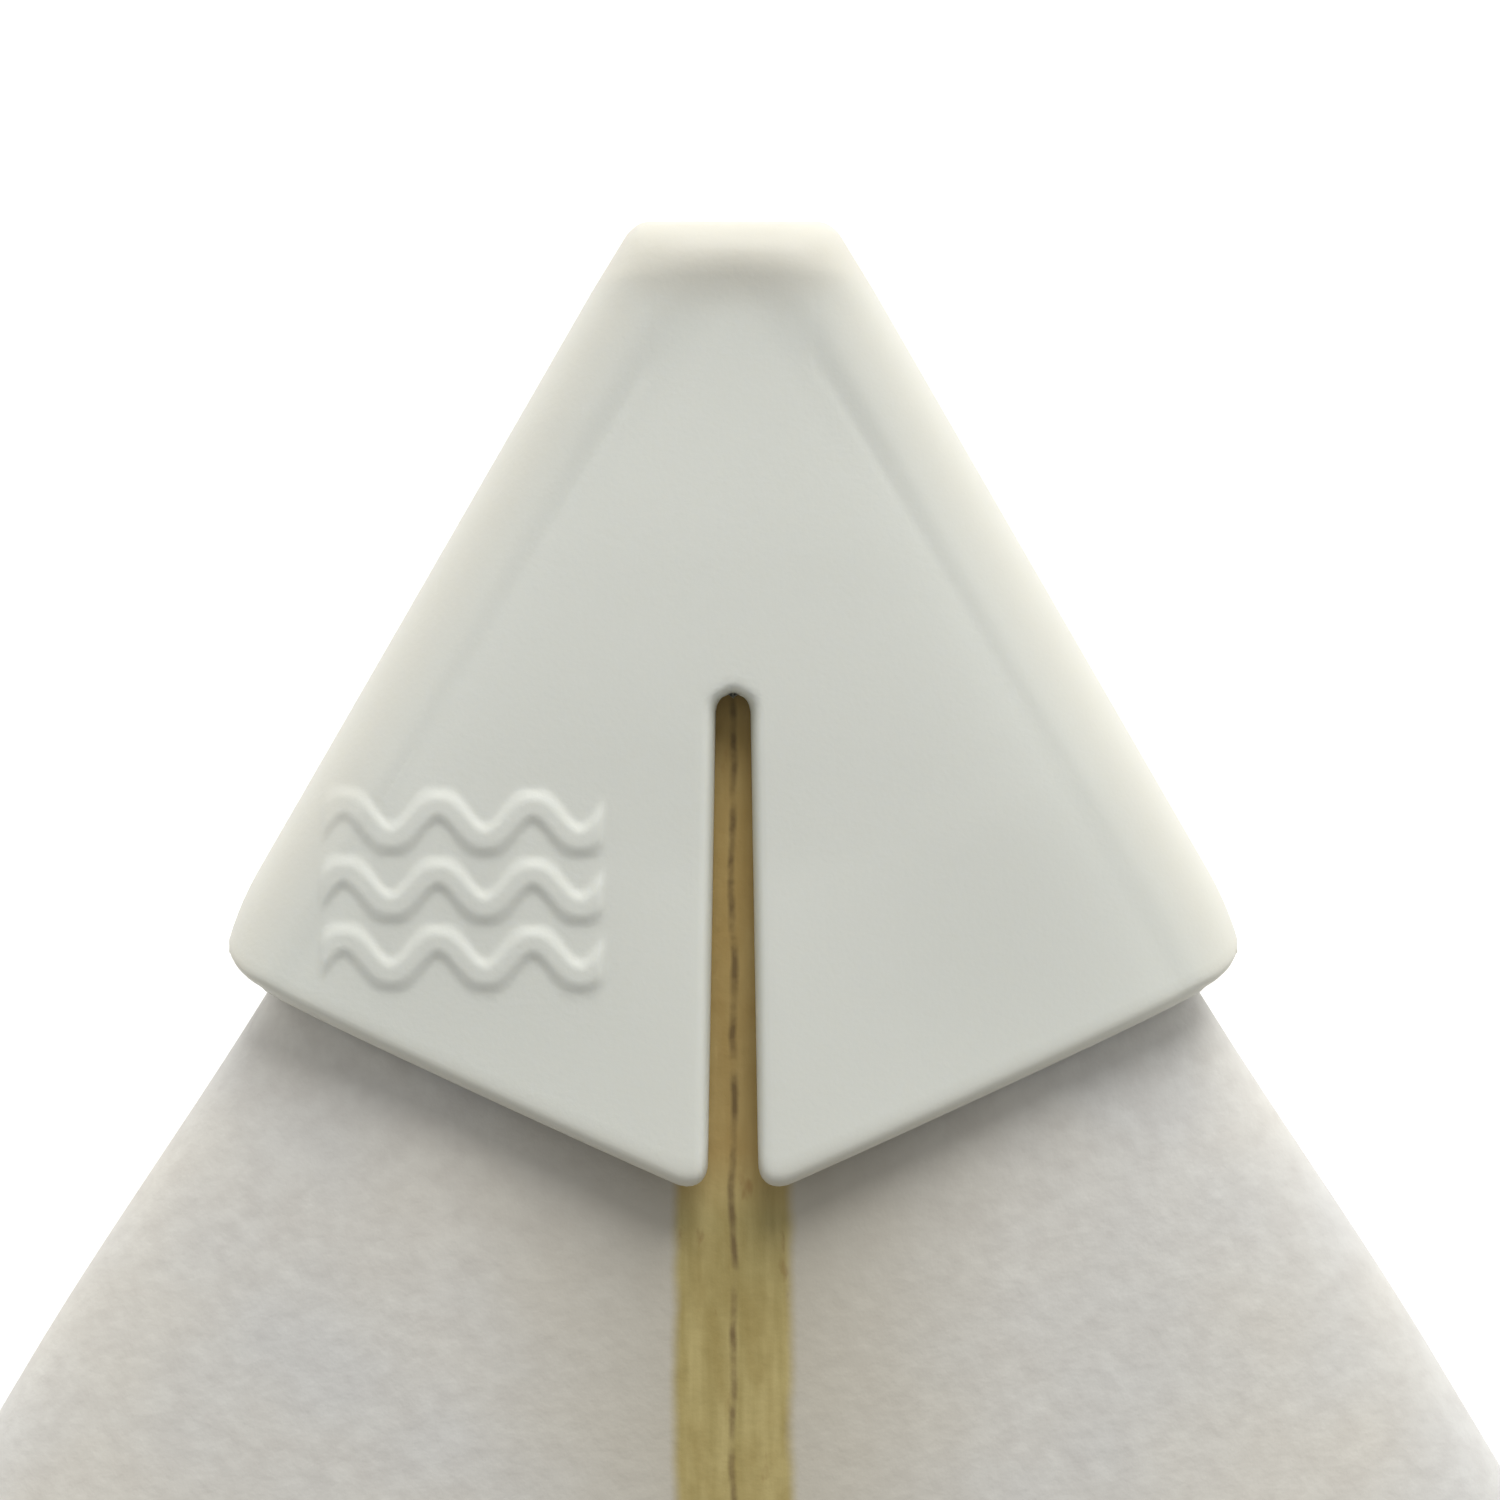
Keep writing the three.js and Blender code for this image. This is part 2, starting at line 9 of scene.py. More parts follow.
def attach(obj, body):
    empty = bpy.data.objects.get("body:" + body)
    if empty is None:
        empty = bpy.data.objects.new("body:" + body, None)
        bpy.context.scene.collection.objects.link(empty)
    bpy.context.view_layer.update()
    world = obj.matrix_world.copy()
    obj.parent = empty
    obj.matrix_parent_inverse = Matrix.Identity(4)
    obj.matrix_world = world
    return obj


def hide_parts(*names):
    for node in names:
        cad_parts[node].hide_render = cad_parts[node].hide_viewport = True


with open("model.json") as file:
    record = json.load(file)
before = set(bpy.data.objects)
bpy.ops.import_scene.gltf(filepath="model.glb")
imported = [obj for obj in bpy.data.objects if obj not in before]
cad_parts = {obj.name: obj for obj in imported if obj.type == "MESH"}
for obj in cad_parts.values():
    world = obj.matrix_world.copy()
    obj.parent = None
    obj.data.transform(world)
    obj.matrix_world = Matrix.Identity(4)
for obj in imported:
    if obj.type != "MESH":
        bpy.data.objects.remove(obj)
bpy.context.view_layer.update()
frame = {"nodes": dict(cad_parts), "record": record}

# ------------------------------------------------------------------ how the board stands
# Everything below is drawn in the shaper's own frame, in millimetres: x across, y towards the
# nose and z up from the flattest spot of the bottom. The board stands tipped nose down, on its
# two side fins and its belly, so one matrix carries that frame to the ground's, in metres.

LENGTH = 1830
HALF = LENGTH / 2
GUARD_AHEAD = 3.2

# The shaper's templates: [distance from the nose, value].
OUTLINE = [(0, 2.2), (42, 28.9), (62, 42.2), (100, 64.5), (150, 88.5), (305, 150), (600, 223),
           (880, 251), (1230, 229), (1525, 173), (1700, 117), (LENGTH, 66)]
THICKNESS = [(0, 12), (62, 18), (305, 37), (610, 56), (860, 63), (1220, 58), (1525, 43),
             (1720, 26), (LENGTH, 14)]
RAIL_LINE = [(0, 0.5), (400, 0.46), (915, 0.42), (1400, 0.3), (LENGTH, 0.22)]
BOTTOM_SQUARENESS = [(0, 2.6), (400, 3.6), (915, 5), (1400, 7), (LENGTH, 9)]
DECK_SQUARENESS = 2.5
NOSE_ROUNDING, TAIL_CORNER, TAIL_EDGE = 6, 26, 7
NOSE_ROCKER, TAIL_ROCKER, FLATTEST, ROCKER_POWER = 130, 62, -50, 2.1


def faired(template, distance):
    """Smooth curve through a template's points."""
    last = len(template) - 1
    ahead = [i for i, (d, _) in enumerate(template) if d > distance]
    k = min(max(ahead[0] - 1, 0), last - 1) if ahead else last - 1

    def slope(n):
        (d0, v0), (d1, v1) = template[max(n - 1, 0)], template[min(n + 1, last)]
        return (v1 - v0) / (d1 - d0)

    (d0, v0), (d1, v1) = template[k], template[k + 1]
    t = min(max((distance - d0) / (d1 - d0), 0), 1)
    m0, m1 = slope(k) * (d1 - d0), slope(k + 1) * (d1 - d0)
    return v0 + t * (m0 + t * (3 * (v1 - v0) - 2 * m0 - m1 + t * (2 * (v0 - v1) + m0 + m1)))


def round_off(inwards, radius):
    """0 at an edge and 1 from one radius inwards, along a quarter circle."""
    return math.sqrt(1 - (1 - min(max(inwards / radius, 0), 1)) ** 2)


def half_width(y):
    """Half the board's width at its rail line, with the nose and the tail's corners rounded off."""
    tail = TAIL_CORNER * (1 - round_off(HALF + y, TAIL_CORNER))
    return max(faired(OUTLINE, HALF - y) * round_off(HALF - y, NOSE_ROUNDING) - tail, 0.01)


def thickness(y):
    """The board's thickness at its middle line."""
    ends = round_off(HALF - y, NOSE_ROUNDING) * round_off(HALF + y, TAIL_EDGE)
    return faired(THICKNESS, HALF - y) * ends


def rail_height(y):
    """Height of the rail's widest line, on the rocker curve."""
    if y > FLATTEST:
        rocker = NOSE_ROCKER * ((y - FLATTEST) / (HALF - FLATTEST)) ** ROCKER_POWER
    else:
        rocker = TAIL_ROCKER * ((FLATTEST - y) / (HALF + FLATTEST)) ** ROCKER_POWER
    return rocker + faired(RAIL_LINE, HALF - y) * faired(THICKNESS, HALF - y)


def deck_rise(across):
    """Share of the deck's height over the rail line, at a share of the way out to the rail."""
    return (1 - min(across, 1) ** DECK_SQUARENESS) ** (1 / DECK_SQUARENESS)


def bottom_drop(across, y):
    """The same for the bottom's depth under the rail line, boxier towards the tail."""
    power = faired(BOTTOM_SQUARENESS, HALF - y)
    return (1 - min(across, 1) ** power) ** (1 / power)


def deck_height(x, y):
    above = (1 - faired(RAIL_LINE, HALF - y)) * thickness(y)
    return rail_height(y) + above * deck_rise(abs(x) / half_width(y))


def bottom_height(x, y):
    below = faired(RAIL_LINE, HALF - y) * thickness(y)
    return rail_height(y) - below * bottom_drop(abs(x) / half_width(y), y)


nose_face = next(m for m in frame["record"]["mounts"] if m["name"] == "nose_bumper")
tilt = math.atan2(nose_face["axis"][2], nose_face["axis"][1])
stance = Matrix.Rotation(tilt, 4, "X") @ Matrix.Scale(0.001, 4)
nose_point = Vector((0, HALF + GUARD_AHEAD, rail_height(HALF + GUARD_AHEAD)))
board = Matrix.Translation(Vector(nose_face["pos_m"]) - stance @ nose_point) @ stance

# ------------------------------------------------------------------ camera
# It looks square down on the deck under the nose guard, whose tip is near the top of the view. The
# lens is long, and the camera so far off that the guard shows no perspective.

VIEW_WIDTH, VIEW_X, VIEW_BACK, VIEW_ABOVE = 88.4, 1.0, 31.3, 3
LENS, SENSOR = 200, 36

view_y = HALF + GUARD_AHEAD - VIEW_BACK
view_point = Vector((VIEW_X, view_y, deck_height(0, view_y) + VIEW_ABOVE))
ahead = Vector((0, 20, deck_height(0, view_y + 10) - deck_height(0, view_y - 10))).normalized()
look = Matrix((Vector((1, 0, 0)), ahead, Vector((1, 0, 0)).cross(ahead))).transposed()
camera = bpy.data.objects.new("camera", bpy.data.cameras.new("camera"))
camera.data.lens, camera.data.sensor_width = LENS, SENSOR
camera.data.clip_start, camera.data.clip_end = 0.02, 60
distance = VIEW_WIDTH / SENSOR * LENS
camera.location = board @ (view_point + look.col[2] * distance)
camera.rotation_euler = (stance.to_3x3().normalized() @ look).to_euler()
bpy.context.scene.collection.objects.link(camera)
bpy.context.scene.camera = camera

# ------------------------------------------------------------------ foam core
# Two halves of a blown polyurethane blank, shaped and sanded, glued to the stringer. They are
# white and dead matt, with open cells a few tenths of a millimetre across.


def linear(colour):
    """An sRGB hex colour as the linear one that nodes take."""
    parts = [int(colour[i:i + 2], 16) / 255 for i in (1, 3, 5)]
    return [p / 12.92 if p <= 0.04045 else ((p + 0.055) / 1.055) ** 2.4 for p in parts] + [1]


def add(tree, kind, settings, values, links):
    """Adds a node with its settings, its input values and the outputs that feed it."""
    made = tree.nodes.new("ShaderNode" + kind)
    for name, value in settings.items():
        setattr(made, name, value)
    for socket, value in values.items():
        made.inputs[socket].default_value = value
    for socket, output in links.items():
        tree.links.new(output, made.inputs[socket])
    return made


def new_material(name, values):
    """A material with values set on its shader: itself, its tree, its shader and Object coordinates."""
    material = bpy.data.materials.new(name)
    material.use_nodes = True
    tree = material.node_tree
    shader = tree.nodes["Principled BSDF"]
    for socket, value in values.items():
        shader.inputs[socket].default_value = value
    return material, tree, shader, tree.nodes.new("ShaderNodeTexCoord").outputs["Object"]


def finish(tree, shader, colour, bump=None):
    """Joins a colour and a bump to the shader."""
    tree.links.new(colour, shader.inputs["Base Color"])
    if bump:
        tree.links.new(bump.outputs[0], shader.inputs["Normal"])


RGB = {"data_type": "RGBA"}


def blown_foam():
    # Cut cells, half a millimetre across, scatter the light evenly, so it looks chalky.
    material, tree, shader, place = new_material("blown_polyurethane_foam", {"Roughness": 0.95, "IOR": 1.5})
    cells = add(tree, "TexNoise", {}, {"Scale": 1800, "Detail": 3}, {"Vector": place}).outputs[0]
    colour = add(tree, "Mix", RGB, {6: linear("#e4e1d6"), 7: linear("#f6f4ec")}, {0: cells})
    finish(tree, shader, colour.outputs[2], add(tree, "Bump", {}, {"Distance": 0.0002}, {"Height": cells}))
    return material


def dress(material, *names):
    """Gives CAD nodes their material."""
    for name in names:
        frame["nodes"][name].data.materials.clear()
        frame["nodes"][name].data.materials.append(material)


dress(blown_foam(), "foam_core_left", "foam_core_right")

# ------------------------------------------------------------------ stringer
# Two plies of basswood 3.2 mm thick, glued face to face and standing on edge down the middle of
# the board. Sawn and sanded with the foam, so its edge shows as a narrow strip along the deck.


def basswood_colour(tree, place):
    """Yellowish wood: grain under a millimetre wide and 20 times as long, soft blotches, rusty flecks."""
    long_way = add(tree, "Mapping", {}, {"Scale": (1, 0.05, 1)}, {"Vector": place}).outputs[0]
    grain = add(tree, "TexNoise", {}, {"Scale": 1300, "Detail": 3}, {"Vector": long_way}).outputs[0]
    grain = add(tree, "MapRange", {}, {1: 0.3, 2: 0.7}, {0: grain}).outputs[0]
    wood = add(tree, "Mix", RGB, {6: linear("#a8985f"), 7: linear("#bbab72")}, {0: grain}).outputs[2]
    half_way = add(tree, "Mapping", {}, {"Scale": (1, 0.4, 1)}, {"Vector": place}).outputs[0]
    blotch = add(tree, "TexNoise", {}, {"Scale": 650, "Detail": 2}, {"Vector": half_way}).outputs[0]
    blotch = add(tree, "MapRange", {}, {1: 0.4, 2: 0.68, 4: 0.55}, {0: blotch}).outputs[0]
    wood = add(tree, "Mix", RGB, {7: linear("#978347")}, {0: blotch, 6: wood}).outputs[2]
    fleck = add(tree, "TexNoise", {}, {"Scale": 800, "Detail": 3}, {"Vector": half_way}).outputs[0]
    fleck = add(tree, "MapRange", {}, {1: 0.64, 2: 0.76, 4: 0.6}, {0: fleck}).outputs[0]
    return add(tree, "Mix", RGB, {7: linear("#84602f")}, {0: fleck, 6: wood}).outputs[2]


def raw_basswood():
    # Sawn and sanded: even and close-grained, with hardly any figure and no shine.
    material, tree, shader, place = new_material("raw_basswood", {"Roughness": 0.8, "IOR": 1.5})
    finish(tree, shader, basswood_colour(tree, place))
    return material


def set_wood_glue():
    # A hard amber film, squeezed out, set and sanded, and darkened by saw dust.
    material, tree, shader, place = new_material("set_wood_glue", {"Roughness": 0.45, "IOR": 1.5})
    dust = add(tree, "TexNoise", {}, {"Scale": 1500, "Detail": 2}, {"Vector": place}).outputs[0]
    colour = add(tree, "Mix", RGB, {6: linear("#57432a"), 7: linear("#6f5836")}, {0: dust})
    finish(tree, shader, colour.outputs[2])
    return material


dress(raw_basswood(), "stringer_ply_left", "stringer_ply_right")
dress(set_wood_glue(), "stringer_glue_line")

# ------------------------------------------------------------------ fin and leash plug places
# Round plugs are glassed into the bottom, two for each fin, and a round leash cup into the deck.
# Each stands square to the surface there, the side fins' ones leaning out and turned in.

PLUG_RADIUS, PLUG_DEEP = 15, 17
FIN_BASE = 110
TABS = {"front": 30, "rear": -22}
SIDES = {"left": -1, "centre": 0, "right": 1}
# From the tail to a side fin and to the centre one, from the rail to a side fin, and its angles.
SIDE_FROM_TAIL, CENTRE_FROM_TAIL, FROM_RAIL, TOE_IN, CANT = 280, 89, 34, 3, 6.5
LEASH_X, LEASH_Y = 21, -HALF + 64


def fin_seat(side):
    """Where a fin's base is: z into the board, y forwards."""
    y = -HALF + (SIDE_FROM_TAIL if side else CENTRE_FROM_TAIL) + FIN_BASE / 2
    x = side * (half_width(y) - FROM_RAIL)
    pitch = math.atan2(bottom_height(x, y + 20) - bottom_height(x, y - 20), 40)
    turned = (Matrix.Rotation(side * math.radians(TOE_IN), 4, "Z") @ Matrix.Rotation(pitch, 4, "X")
              @ Matrix.Rotation(-side * math.radians(CANT), 4, "Y"))
    return Matrix.Translation((x, y, bottom_height(x, y))) @ turned


leash_pitch = math.atan2(deck_height(LEASH_X, LEASH_Y + 12) - deck_height(LEASH_X, LEASH_Y - 12), 24)
leash_point = Matrix.Translation((LEASH_X, LEASH_Y, deck_height(LEASH_X, LEASH_Y)))
leash_seat = leash_point @ Matrix.Rotation(leash_pitch, 4, "X")

# ------------------------------------------------------------------ skins
# Fibreglass cloth and resin, about 1 mm, sanded to a dull even finish. The resin is clear, so the
# white foam and the stringer show through. The deck's cloth wraps the rails and ends in a lap
# 42 mm wide on the bottom, standing a hair proud of the bottom's own cloth.

SKIN, SEAM = 1.0, 0.05
LAP, LAP_STEP = 42, 0.25
PANEL_FROM, PANEL_TO = -HALF + 50, HALF - 94
DECK_COLUMNS, LAP_COLUMNS, PANEL_COLUMNS = 28, 14, 24
GUARD_COVERS = 55


def laid_grid(columns, rows, place, refine=None):
    """A grid whose points are moved one by one to place(column, row), in the board's frame."""
    bm = bmesh.new()
    cells = Matrix.Translation((columns / 2, rows / 2, 0)) @ Matrix.Diagonal((columns, rows, 1, 1))
    bmesh.ops.create_grid(bm, x_segments=columns, y_segments=rows, size=0.5, matrix=cells)
    if refine:
        edges = {e for f in bm.faces if refine(*f.calc_center_median().xy) for e in f.edges}
        bmesh.ops.subdivide_edges(bm, edges=list(edges), cuts=2, use_grid_fill=True)
    for vert in bm.verts:
        vert.co = place(vert.co.x, vert.co.y)
    bmesh.ops.remove_doubles(bm, verts=bm.verts, dist=1e-4)
    bmesh.ops.dissolve_degenerate(bm, edges=bm.edges, dist=1e-5)
    return bm


def between(values, at):
    """A value read off a list at a place between its entries."""
    i = min(int(at), len(values) - 2)
    return values[i] + (values[i + 1] - values[i]) * (at - i)


def new_piece(name, bm, material, body="board", smooth=True):
    """A finished mesh, drawn in the board's frame, as a piece that stands where the board does."""
    bmesh.ops.transform(bm, matrix=board, verts=bm.verts)
    for face in bm.faces:
        face.smooth = smooth
    mesh = bpy.data.meshes.new(name)
    bm.to_mesh(mesh)
    bm.free()
    mesh.materials.append(material)
    piece = bpy.data.objects.new(name, mesh)
    bpy.context.scene.collection.objects.link(piece)
    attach(piece, body)
    return piece


# Where the skins' rows are: close together at the nose, at the tail and at both ends of the lap.
nose_steps = [0, 0.1, 0.3, 0.6, 1, 1.5, 2.2, 3, 3.9, 4.9, 6] + [6 + 1.25 * k for k in range(1, 73)]
tail_steps = [60, 50.01, 49.99, 44, 38, 32, 27, 23, 19, 15.5, 12, 9, 7, 5.2, 3.7, 2.4, 1.4, 0.7, 0.3, 0.1]
run_length = LENGTH - nose_steps[-1] - tail_steps[0]
middle_steps = [nose_steps[-1] + run_length * k / 110 for k in range(1, 110)]
lap_ends = [HALF - PANEL_TO - 0.01, HALF - PANEL_TO + 0.01]
skin_stations = [HALF - d for d in nose_steps + middle_steps + lap_ends] + [d - HALF for d in tail_steps]
skin_stations.sort()
panel_stations = [PANEL_FROM + SEAM, PANEL_TO - SEAM]
panel_stations[1:1] = [y for y in skin_stations if PANEL_FROM + 1 < y < PANEL_TO - 1]


def skin_point(column, y, lap):
    """A point on the board's outside: column 0 is the deck's middle, and the last one the lap's edge."""
    side = 1 if column > 0 else -1
    column = abs(column)
    half = half_width(y)
    if column <= DECK_COLUMNS:
        across = math.sin(math.pi / 2 * column / DECK_COLUMNS)
        return Vector((side * half * across, y, deck_height(half * across, y)))
    inwards = ((column - DECK_COLUMNS) / LAP_COLUMNS) ** 2
    x = half - min(lap, half) * inwards
    return Vector((side * x, y, bottom_height(x, y)))


def deck_skin_place(column, row):
    """A point of the deck skin, which goes all the way round at the nose and the tail."""
    y = between(skin_stations, row)
    lap = LAP if PANEL_FROM < y < PANEL_TO else math.inf
    return skin_point(column - DECK_COLUMNS - LAP_COLUMNS, y, lap)


def bottom_skin_place(column, row):
    """A point of the bottom skin, a seam's width short of the lap and a step below it."""
    y = between(panel_stations, row)
    x = (column / (PANEL_COLUMNS / 2) - 1) * (half_width(y) - LAP - SEAM)
    return Vector((x, y, bottom_height(x, y) + LAP_STEP))


def sanded_laminate(guard_line):
    # Foam seen through sanded resin: nearly white, a soft mottle a millimetre or two across, and
    # no gloss. Over the stringer the clear resin shows the wood and its broken line of glue.
    material, tree, shader, place = new_material("sanded_glass_laminate", {"Roughness": 0.6, "IOR": 1.5})
    mottle = add(tree, "TexNoise", {}, {"Scale": 650, "Detail": 4}, {"Vector": place}).outputs[0]
    mottle = add(tree, "MapRange", {}, {1: 0.3, 2: 0.7}, {0: mottle}).outputs[0]
    foam = add(tree, "Mix", RGB, {6: linear("#d1cec8"), 7: linear("#dad8d2")}, {0: mottle}).outputs[2]
    cloud = add(tree, "TexNoise", {}, {"Scale": 60, "Detail": 2}, {"Vector": place}).outputs[0]
    cloud = add(tree, "MapRange", {}, {1: 0.35, 2: 0.65}, {0: cloud}).outputs[0]
    tint = add(tree, "Mix", RGB, {6: linear("#fafbfc"), 7: linear("#fffdf8")}, {0: cloud}).outputs[2]
    foam = add(tree, "Mix", RGB | {"blend_type": "MULTIPLY"}, {0: 1}, {6: foam, 7: tint}).outputs[2]
    # How far a spot is from the middle of the board, wandering by up to 0.4 mm.
    across, along, _up = add(tree, "SeparateXYZ", {}, {}, {0: place}).outputs
    wander = add(tree, "TexNoise", {}, {"Scale": 200, "Detail": 4}, {"Vector": place}).outputs[0]
    drift = add(tree, "MapRange", {}, {3: -0.0004, 4: 0.0004}, {0: wander}).outputs[0]
    shifted = add(tree, "Math", {"operation": "ADD"}, {}, {0: across, 1: drift}).outputs[0]
    off = add(tree, "Math", {"operation": "ABSOLUTE"}, {}, {0: shifted}).outputs[0]
    # Painted shade: the foam beside the stringer is painted darker, most at the wood and fading out by 17
    # mm.
    stringer_shade = add(tree, "MapRange", {}, {1: 0.0034, 2: 0.017, 3: 0.75, 4: 0}, {0: off}).outputs[0]
    foam = add(tree, "Mix", RGB, {7: linear("#b9b2a0")}, {0: stringer_shade, 6: foam}).outputs[2]
    soft = {"interpolation_type": "SMOOTHSTEP"}
    strip = add(tree, "MapRange", soft, {1: 0.003, 2: 0.0039, 3: 1, 4: 0}, {0: off}).outputs[0]
    # Painted light: under the guard the wood is painted warmer and brighter, for light bounced off the
    # silicone into the slot.
    silicone_bounce = add(tree, "MapRange", {}, {1: guard_line, 2: guard_line + 0.004, 4: 0.4}, {0: along}).outputs[0]
    wood = basswood_colour(tree, place)
    wood = add(tree, "Mix", RGB, {7: linear("#cba261")}, {0: silicone_bounce, 6: wood}).outputs[2]
    deck = add(tree, "Mix", RGB, {}, {0: strip, 6: foam, 7: wood}).outputs[2]
    line = add(tree, "MapRange", {}, {1: 0.00008, 2: 0.0003, 3: 0.8, 4: 0}, {0: off}).outputs[0]
    gaps = add(tree, "TexNoise", {}, {"Scale": 500, "Detail": 3}, {"Vector": place}).outputs[0]
    gaps = add(tree, "MapRange", {}, {1: 0.35, 2: 0.6, 3: 0.1, 4: 1}, {0: gaps}).outputs[0]
    glue = add(tree, "Math", {"operation": "MULTIPLY"}, {}, {0: line, 1: gaps}).outputs[0]
    deck = add(tree, "Mix", RGB, {7: linear("#6a5431")}, {0: glue, 6: deck}).outputs[2]
    # The cloth's weave is just felt under the sanding: threads about a millimetre apart.
    weave = add(tree, "TexNoise", {}, {"Scale": 900, "Detail": 3}, {"Vector": place}).outputs[0]
    finish(tree, shader, deck, add(tree, "Bump", {}, {"Distance": 0.00007}, {"Height": weave}))
    return material


def cut_away(piece, cutters):
    """Cuts solids drawn in the board's frame out of a piece, for good."""
    bmesh.ops.transform(cutters, matrix=board, verts=cutters.verts)
    bmesh.ops.recalc_face_normals(cutters, faces=cutters.faces)
    mesh = bpy.data.meshes.new("cutters")
    cutters.to_mesh(mesh)
    cutters.free()
    cutter = bpy.data.objects.new("cutters", mesh)
    bpy.context.scene.collection.objects.link(cutter)
    cut = piece.modifiers.new("cut", "BOOLEAN")
    cut.operation, cut.solver, cut.object = "DIFFERENCE", "EXACT", cutter
    finished = bpy.data.meshes.new_from_object(piece.evaluated_get(bpy.context.evaluated_depsgraph_get()))
    piece.modifiers.clear()
    piece.data = finished
    bpy.data.objects.remove(cutter)


def post(bm, place, radius, low, high, segments=64):
    """A closed cylinder along a place's z, from low to high."""
    middle = place @ Matrix.Translation((0, 0, (low + high) / 2))
    return bmesh.ops.create_cone(bm, cap_ends=True, segments=segments, radius1=radius, radius2=radius,
                                 depth=high - low, matrix=middle)["verts"]


def thicken(piece, thick):
    """Gives a piece its wall, inwards, in millimetres."""
    wall = piece.modifiers.new("wall", "SOLIDIFY")
    wall.thickness, wall.offset, wall.use_even_offset = thick / 1000, -1, False


def skin(name, bm, laminate, thick, holes):
    """A skin with its wall, closed at the tail, and with holes for the plugs set through it."""
    end = [e for e in bm.edges if e.is_boundary and all(v.co.y < -HALF + 0.2 for v in e.verts)]
    if end:
        bmesh.ops.holes_fill(bm, edges=end, sides=0)
    bmesh.ops.recalc_face_normals(bm, faces=bm.faces)
    piece = new_piece(name, bm, laminate)
    thicken(piece, thick)
    pockets = bmesh.new()
    for seat in holes:
        post(pockets, seat, PLUG_RADIUS + SEAM, -8, 12)
    cut_away(piece, pockets)
    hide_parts(name)


guard_line = board @ Vector((0, HALF - GUARD_COVERS, deck_height(0, HALF - GUARD_COVERS)))
laminate = sanded_laminate(guard_line.y)
plug_seats = {(name, end): fin_seat(side) @ Matrix.Translation((0, y, 0))
              for name, side in SIDES.items() for end, y in TABS.items()}
wrapped = laid_grid(2 * (DECK_COLUMNS + LAP_COLUMNS), len(skin_stations) - 1, deck_skin_place)
skin("deck_laminate", wrapped, laminate, SKIN, [*plug_seats.values(), leash_seat])
panel = laid_grid(PANEL_COLUMNS, len(panel_stations) - 1, bottom_skin_place)
skin("bottom_laminate", panel, laminate, SKIN - LAP_STEP - SEAM, plug_seats.values())

# ------------------------------------------------------------------ fin plugs
# Six round plugs of moulded nylon, set in resin and sanded flush. Each has a slot for one of a
# fin's tabs and a slanting bore for the grub screw that clamps it.

SLOT_WIDE, SLOT_LONG, SLOT_DEEP = 5.2, 22.8, 14
BORE_RADIUS, BORE_LONG, BORE_LEAN, TIP_OFF, TIP_DEEP = 2.7, 22, 135, 2.5, 6.9
PLUG_PROUD, FACE_RINGS, FACE_RING = 0.15, 5, 2.4


def moulded_nylon():
    # Glass-filled nylon from a lightly textured mould: off-white, satin, sanded in places.
    material, tree, shader, place = new_material("moulded_nylon", {"Roughness": 0.45, "IOR": 1.53})
    worn = add(tree, "TexNoise", {}, {"Scale": 250, "Detail": 4}, {"Vector": place}).outputs[0]
    colour = add(tree, "Mix", RGB, {6: linear("#d8d7d1"), 7: linear("#e8e7e3")}, {0: worn})
    fine = add(tree, "TexNoise", {}, {"Scale": 2500, "Detail": 2}, {"Vector": place}).outputs[0]
    finish(tree, shader, colour.outputs[2], add(tree, "Bump", {}, {"Distance": 0.00003}, {"Height": fine}))
    return material


def screw_place(name, end):
    """Where a grub screw lies: z runs from its tip at the tab to its head at the plug's face."""
    side = -SIDES[name] or 1
    lean = Matrix.Rotation(side * math.radians(BORE_LEAN), 4, "Y")
    return plug_seats[name, end] @ Matrix.Translation((side * TIP_OFF, 0, TIP_DEEP)) @ lean


def fin_plug(name, end, nylon):
    """A plug whose face is sanded to the bottom's curve and has its slot and bore cut in."""
    seat = plug_seats[name, end]
    bm = bmesh.new()
    post(bm, Matrix(), PLUG_RADIUS, 0, PLUG_DEEP, 72)
    face = min(bm.faces, key=lambda f: f.calc_center_median().z)
    for _ in range(FACE_RINGS):
        bmesh.ops.inset_region(bm, faces=[face], thickness=FACE_RING, use_even_offset=True)
    into = seat.col[2].to_3d()
    for vert in bm.verts:
        on_face = vert.co.z < PLUG_DEEP / 2
        vert.co = seat @ vert.co
        if on_face:
            for _ in range(3):
                vert.co += into * ((bottom_height(vert.co.x, vert.co.y) - PLUG_PROUD - vert.co.z) / into.z)
    away = seat.inverted()
    rim = [e for e in bm.edges if e.calc_face_angle(0) > 1
           and all((away @ v.co).z < PLUG_DEEP / 2 for v in e.verts)]
    bmesh.ops.bevel(bm, geom=rim, offset=0.5, offset_type="OFFSET", segments=3, profile=0.5,
                    affect="EDGES", material=-1)
    bmesh.ops.recalc_face_normals(bm, faces=bm.faces)
    piece = new_piece(f"fin_plug_{name}_{end}", bm, nylon, smooth=False)
    cutters = bmesh.new()
    size = Matrix.Diagonal((SLOT_WIDE, SLOT_LONG, 2 * SLOT_DEEP, 1))
    slot = bmesh.ops.create_cube(cutters, size=1, matrix=seat @ size)["verts"]
    upright = {e for v in slot for e in v.link_edges if abs(e.calc_length() - 2 * SLOT_DEEP) < 0.1}
    bmesh.ops.bevel(cutters, geom=list(upright), offset=1.2, offset_type="OFFSET", segments=4, profile=0.5,
                    affect="EDGES", material=-1)
    cut_away(piece, cutters)
    bore = bmesh.new()
    post(bore, screw_place(name, end), BORE_RADIUS, 0, BORE_LONG, 32)
    cut_away(piece, bore)
    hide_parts(f"fin_plug_{name}_{end}")


nylon = moulded_nylon()
for name, end in plug_seats:
    fin_plug(name, end, nylon)

# ------------------------------------------------------------------ leash plug
# A turned nylon cup set in the deck beside the stringer, with a stainless bar across it that the
# leash's string is tied round. Its flange stands 0.4 mm proud with a rounded rim.

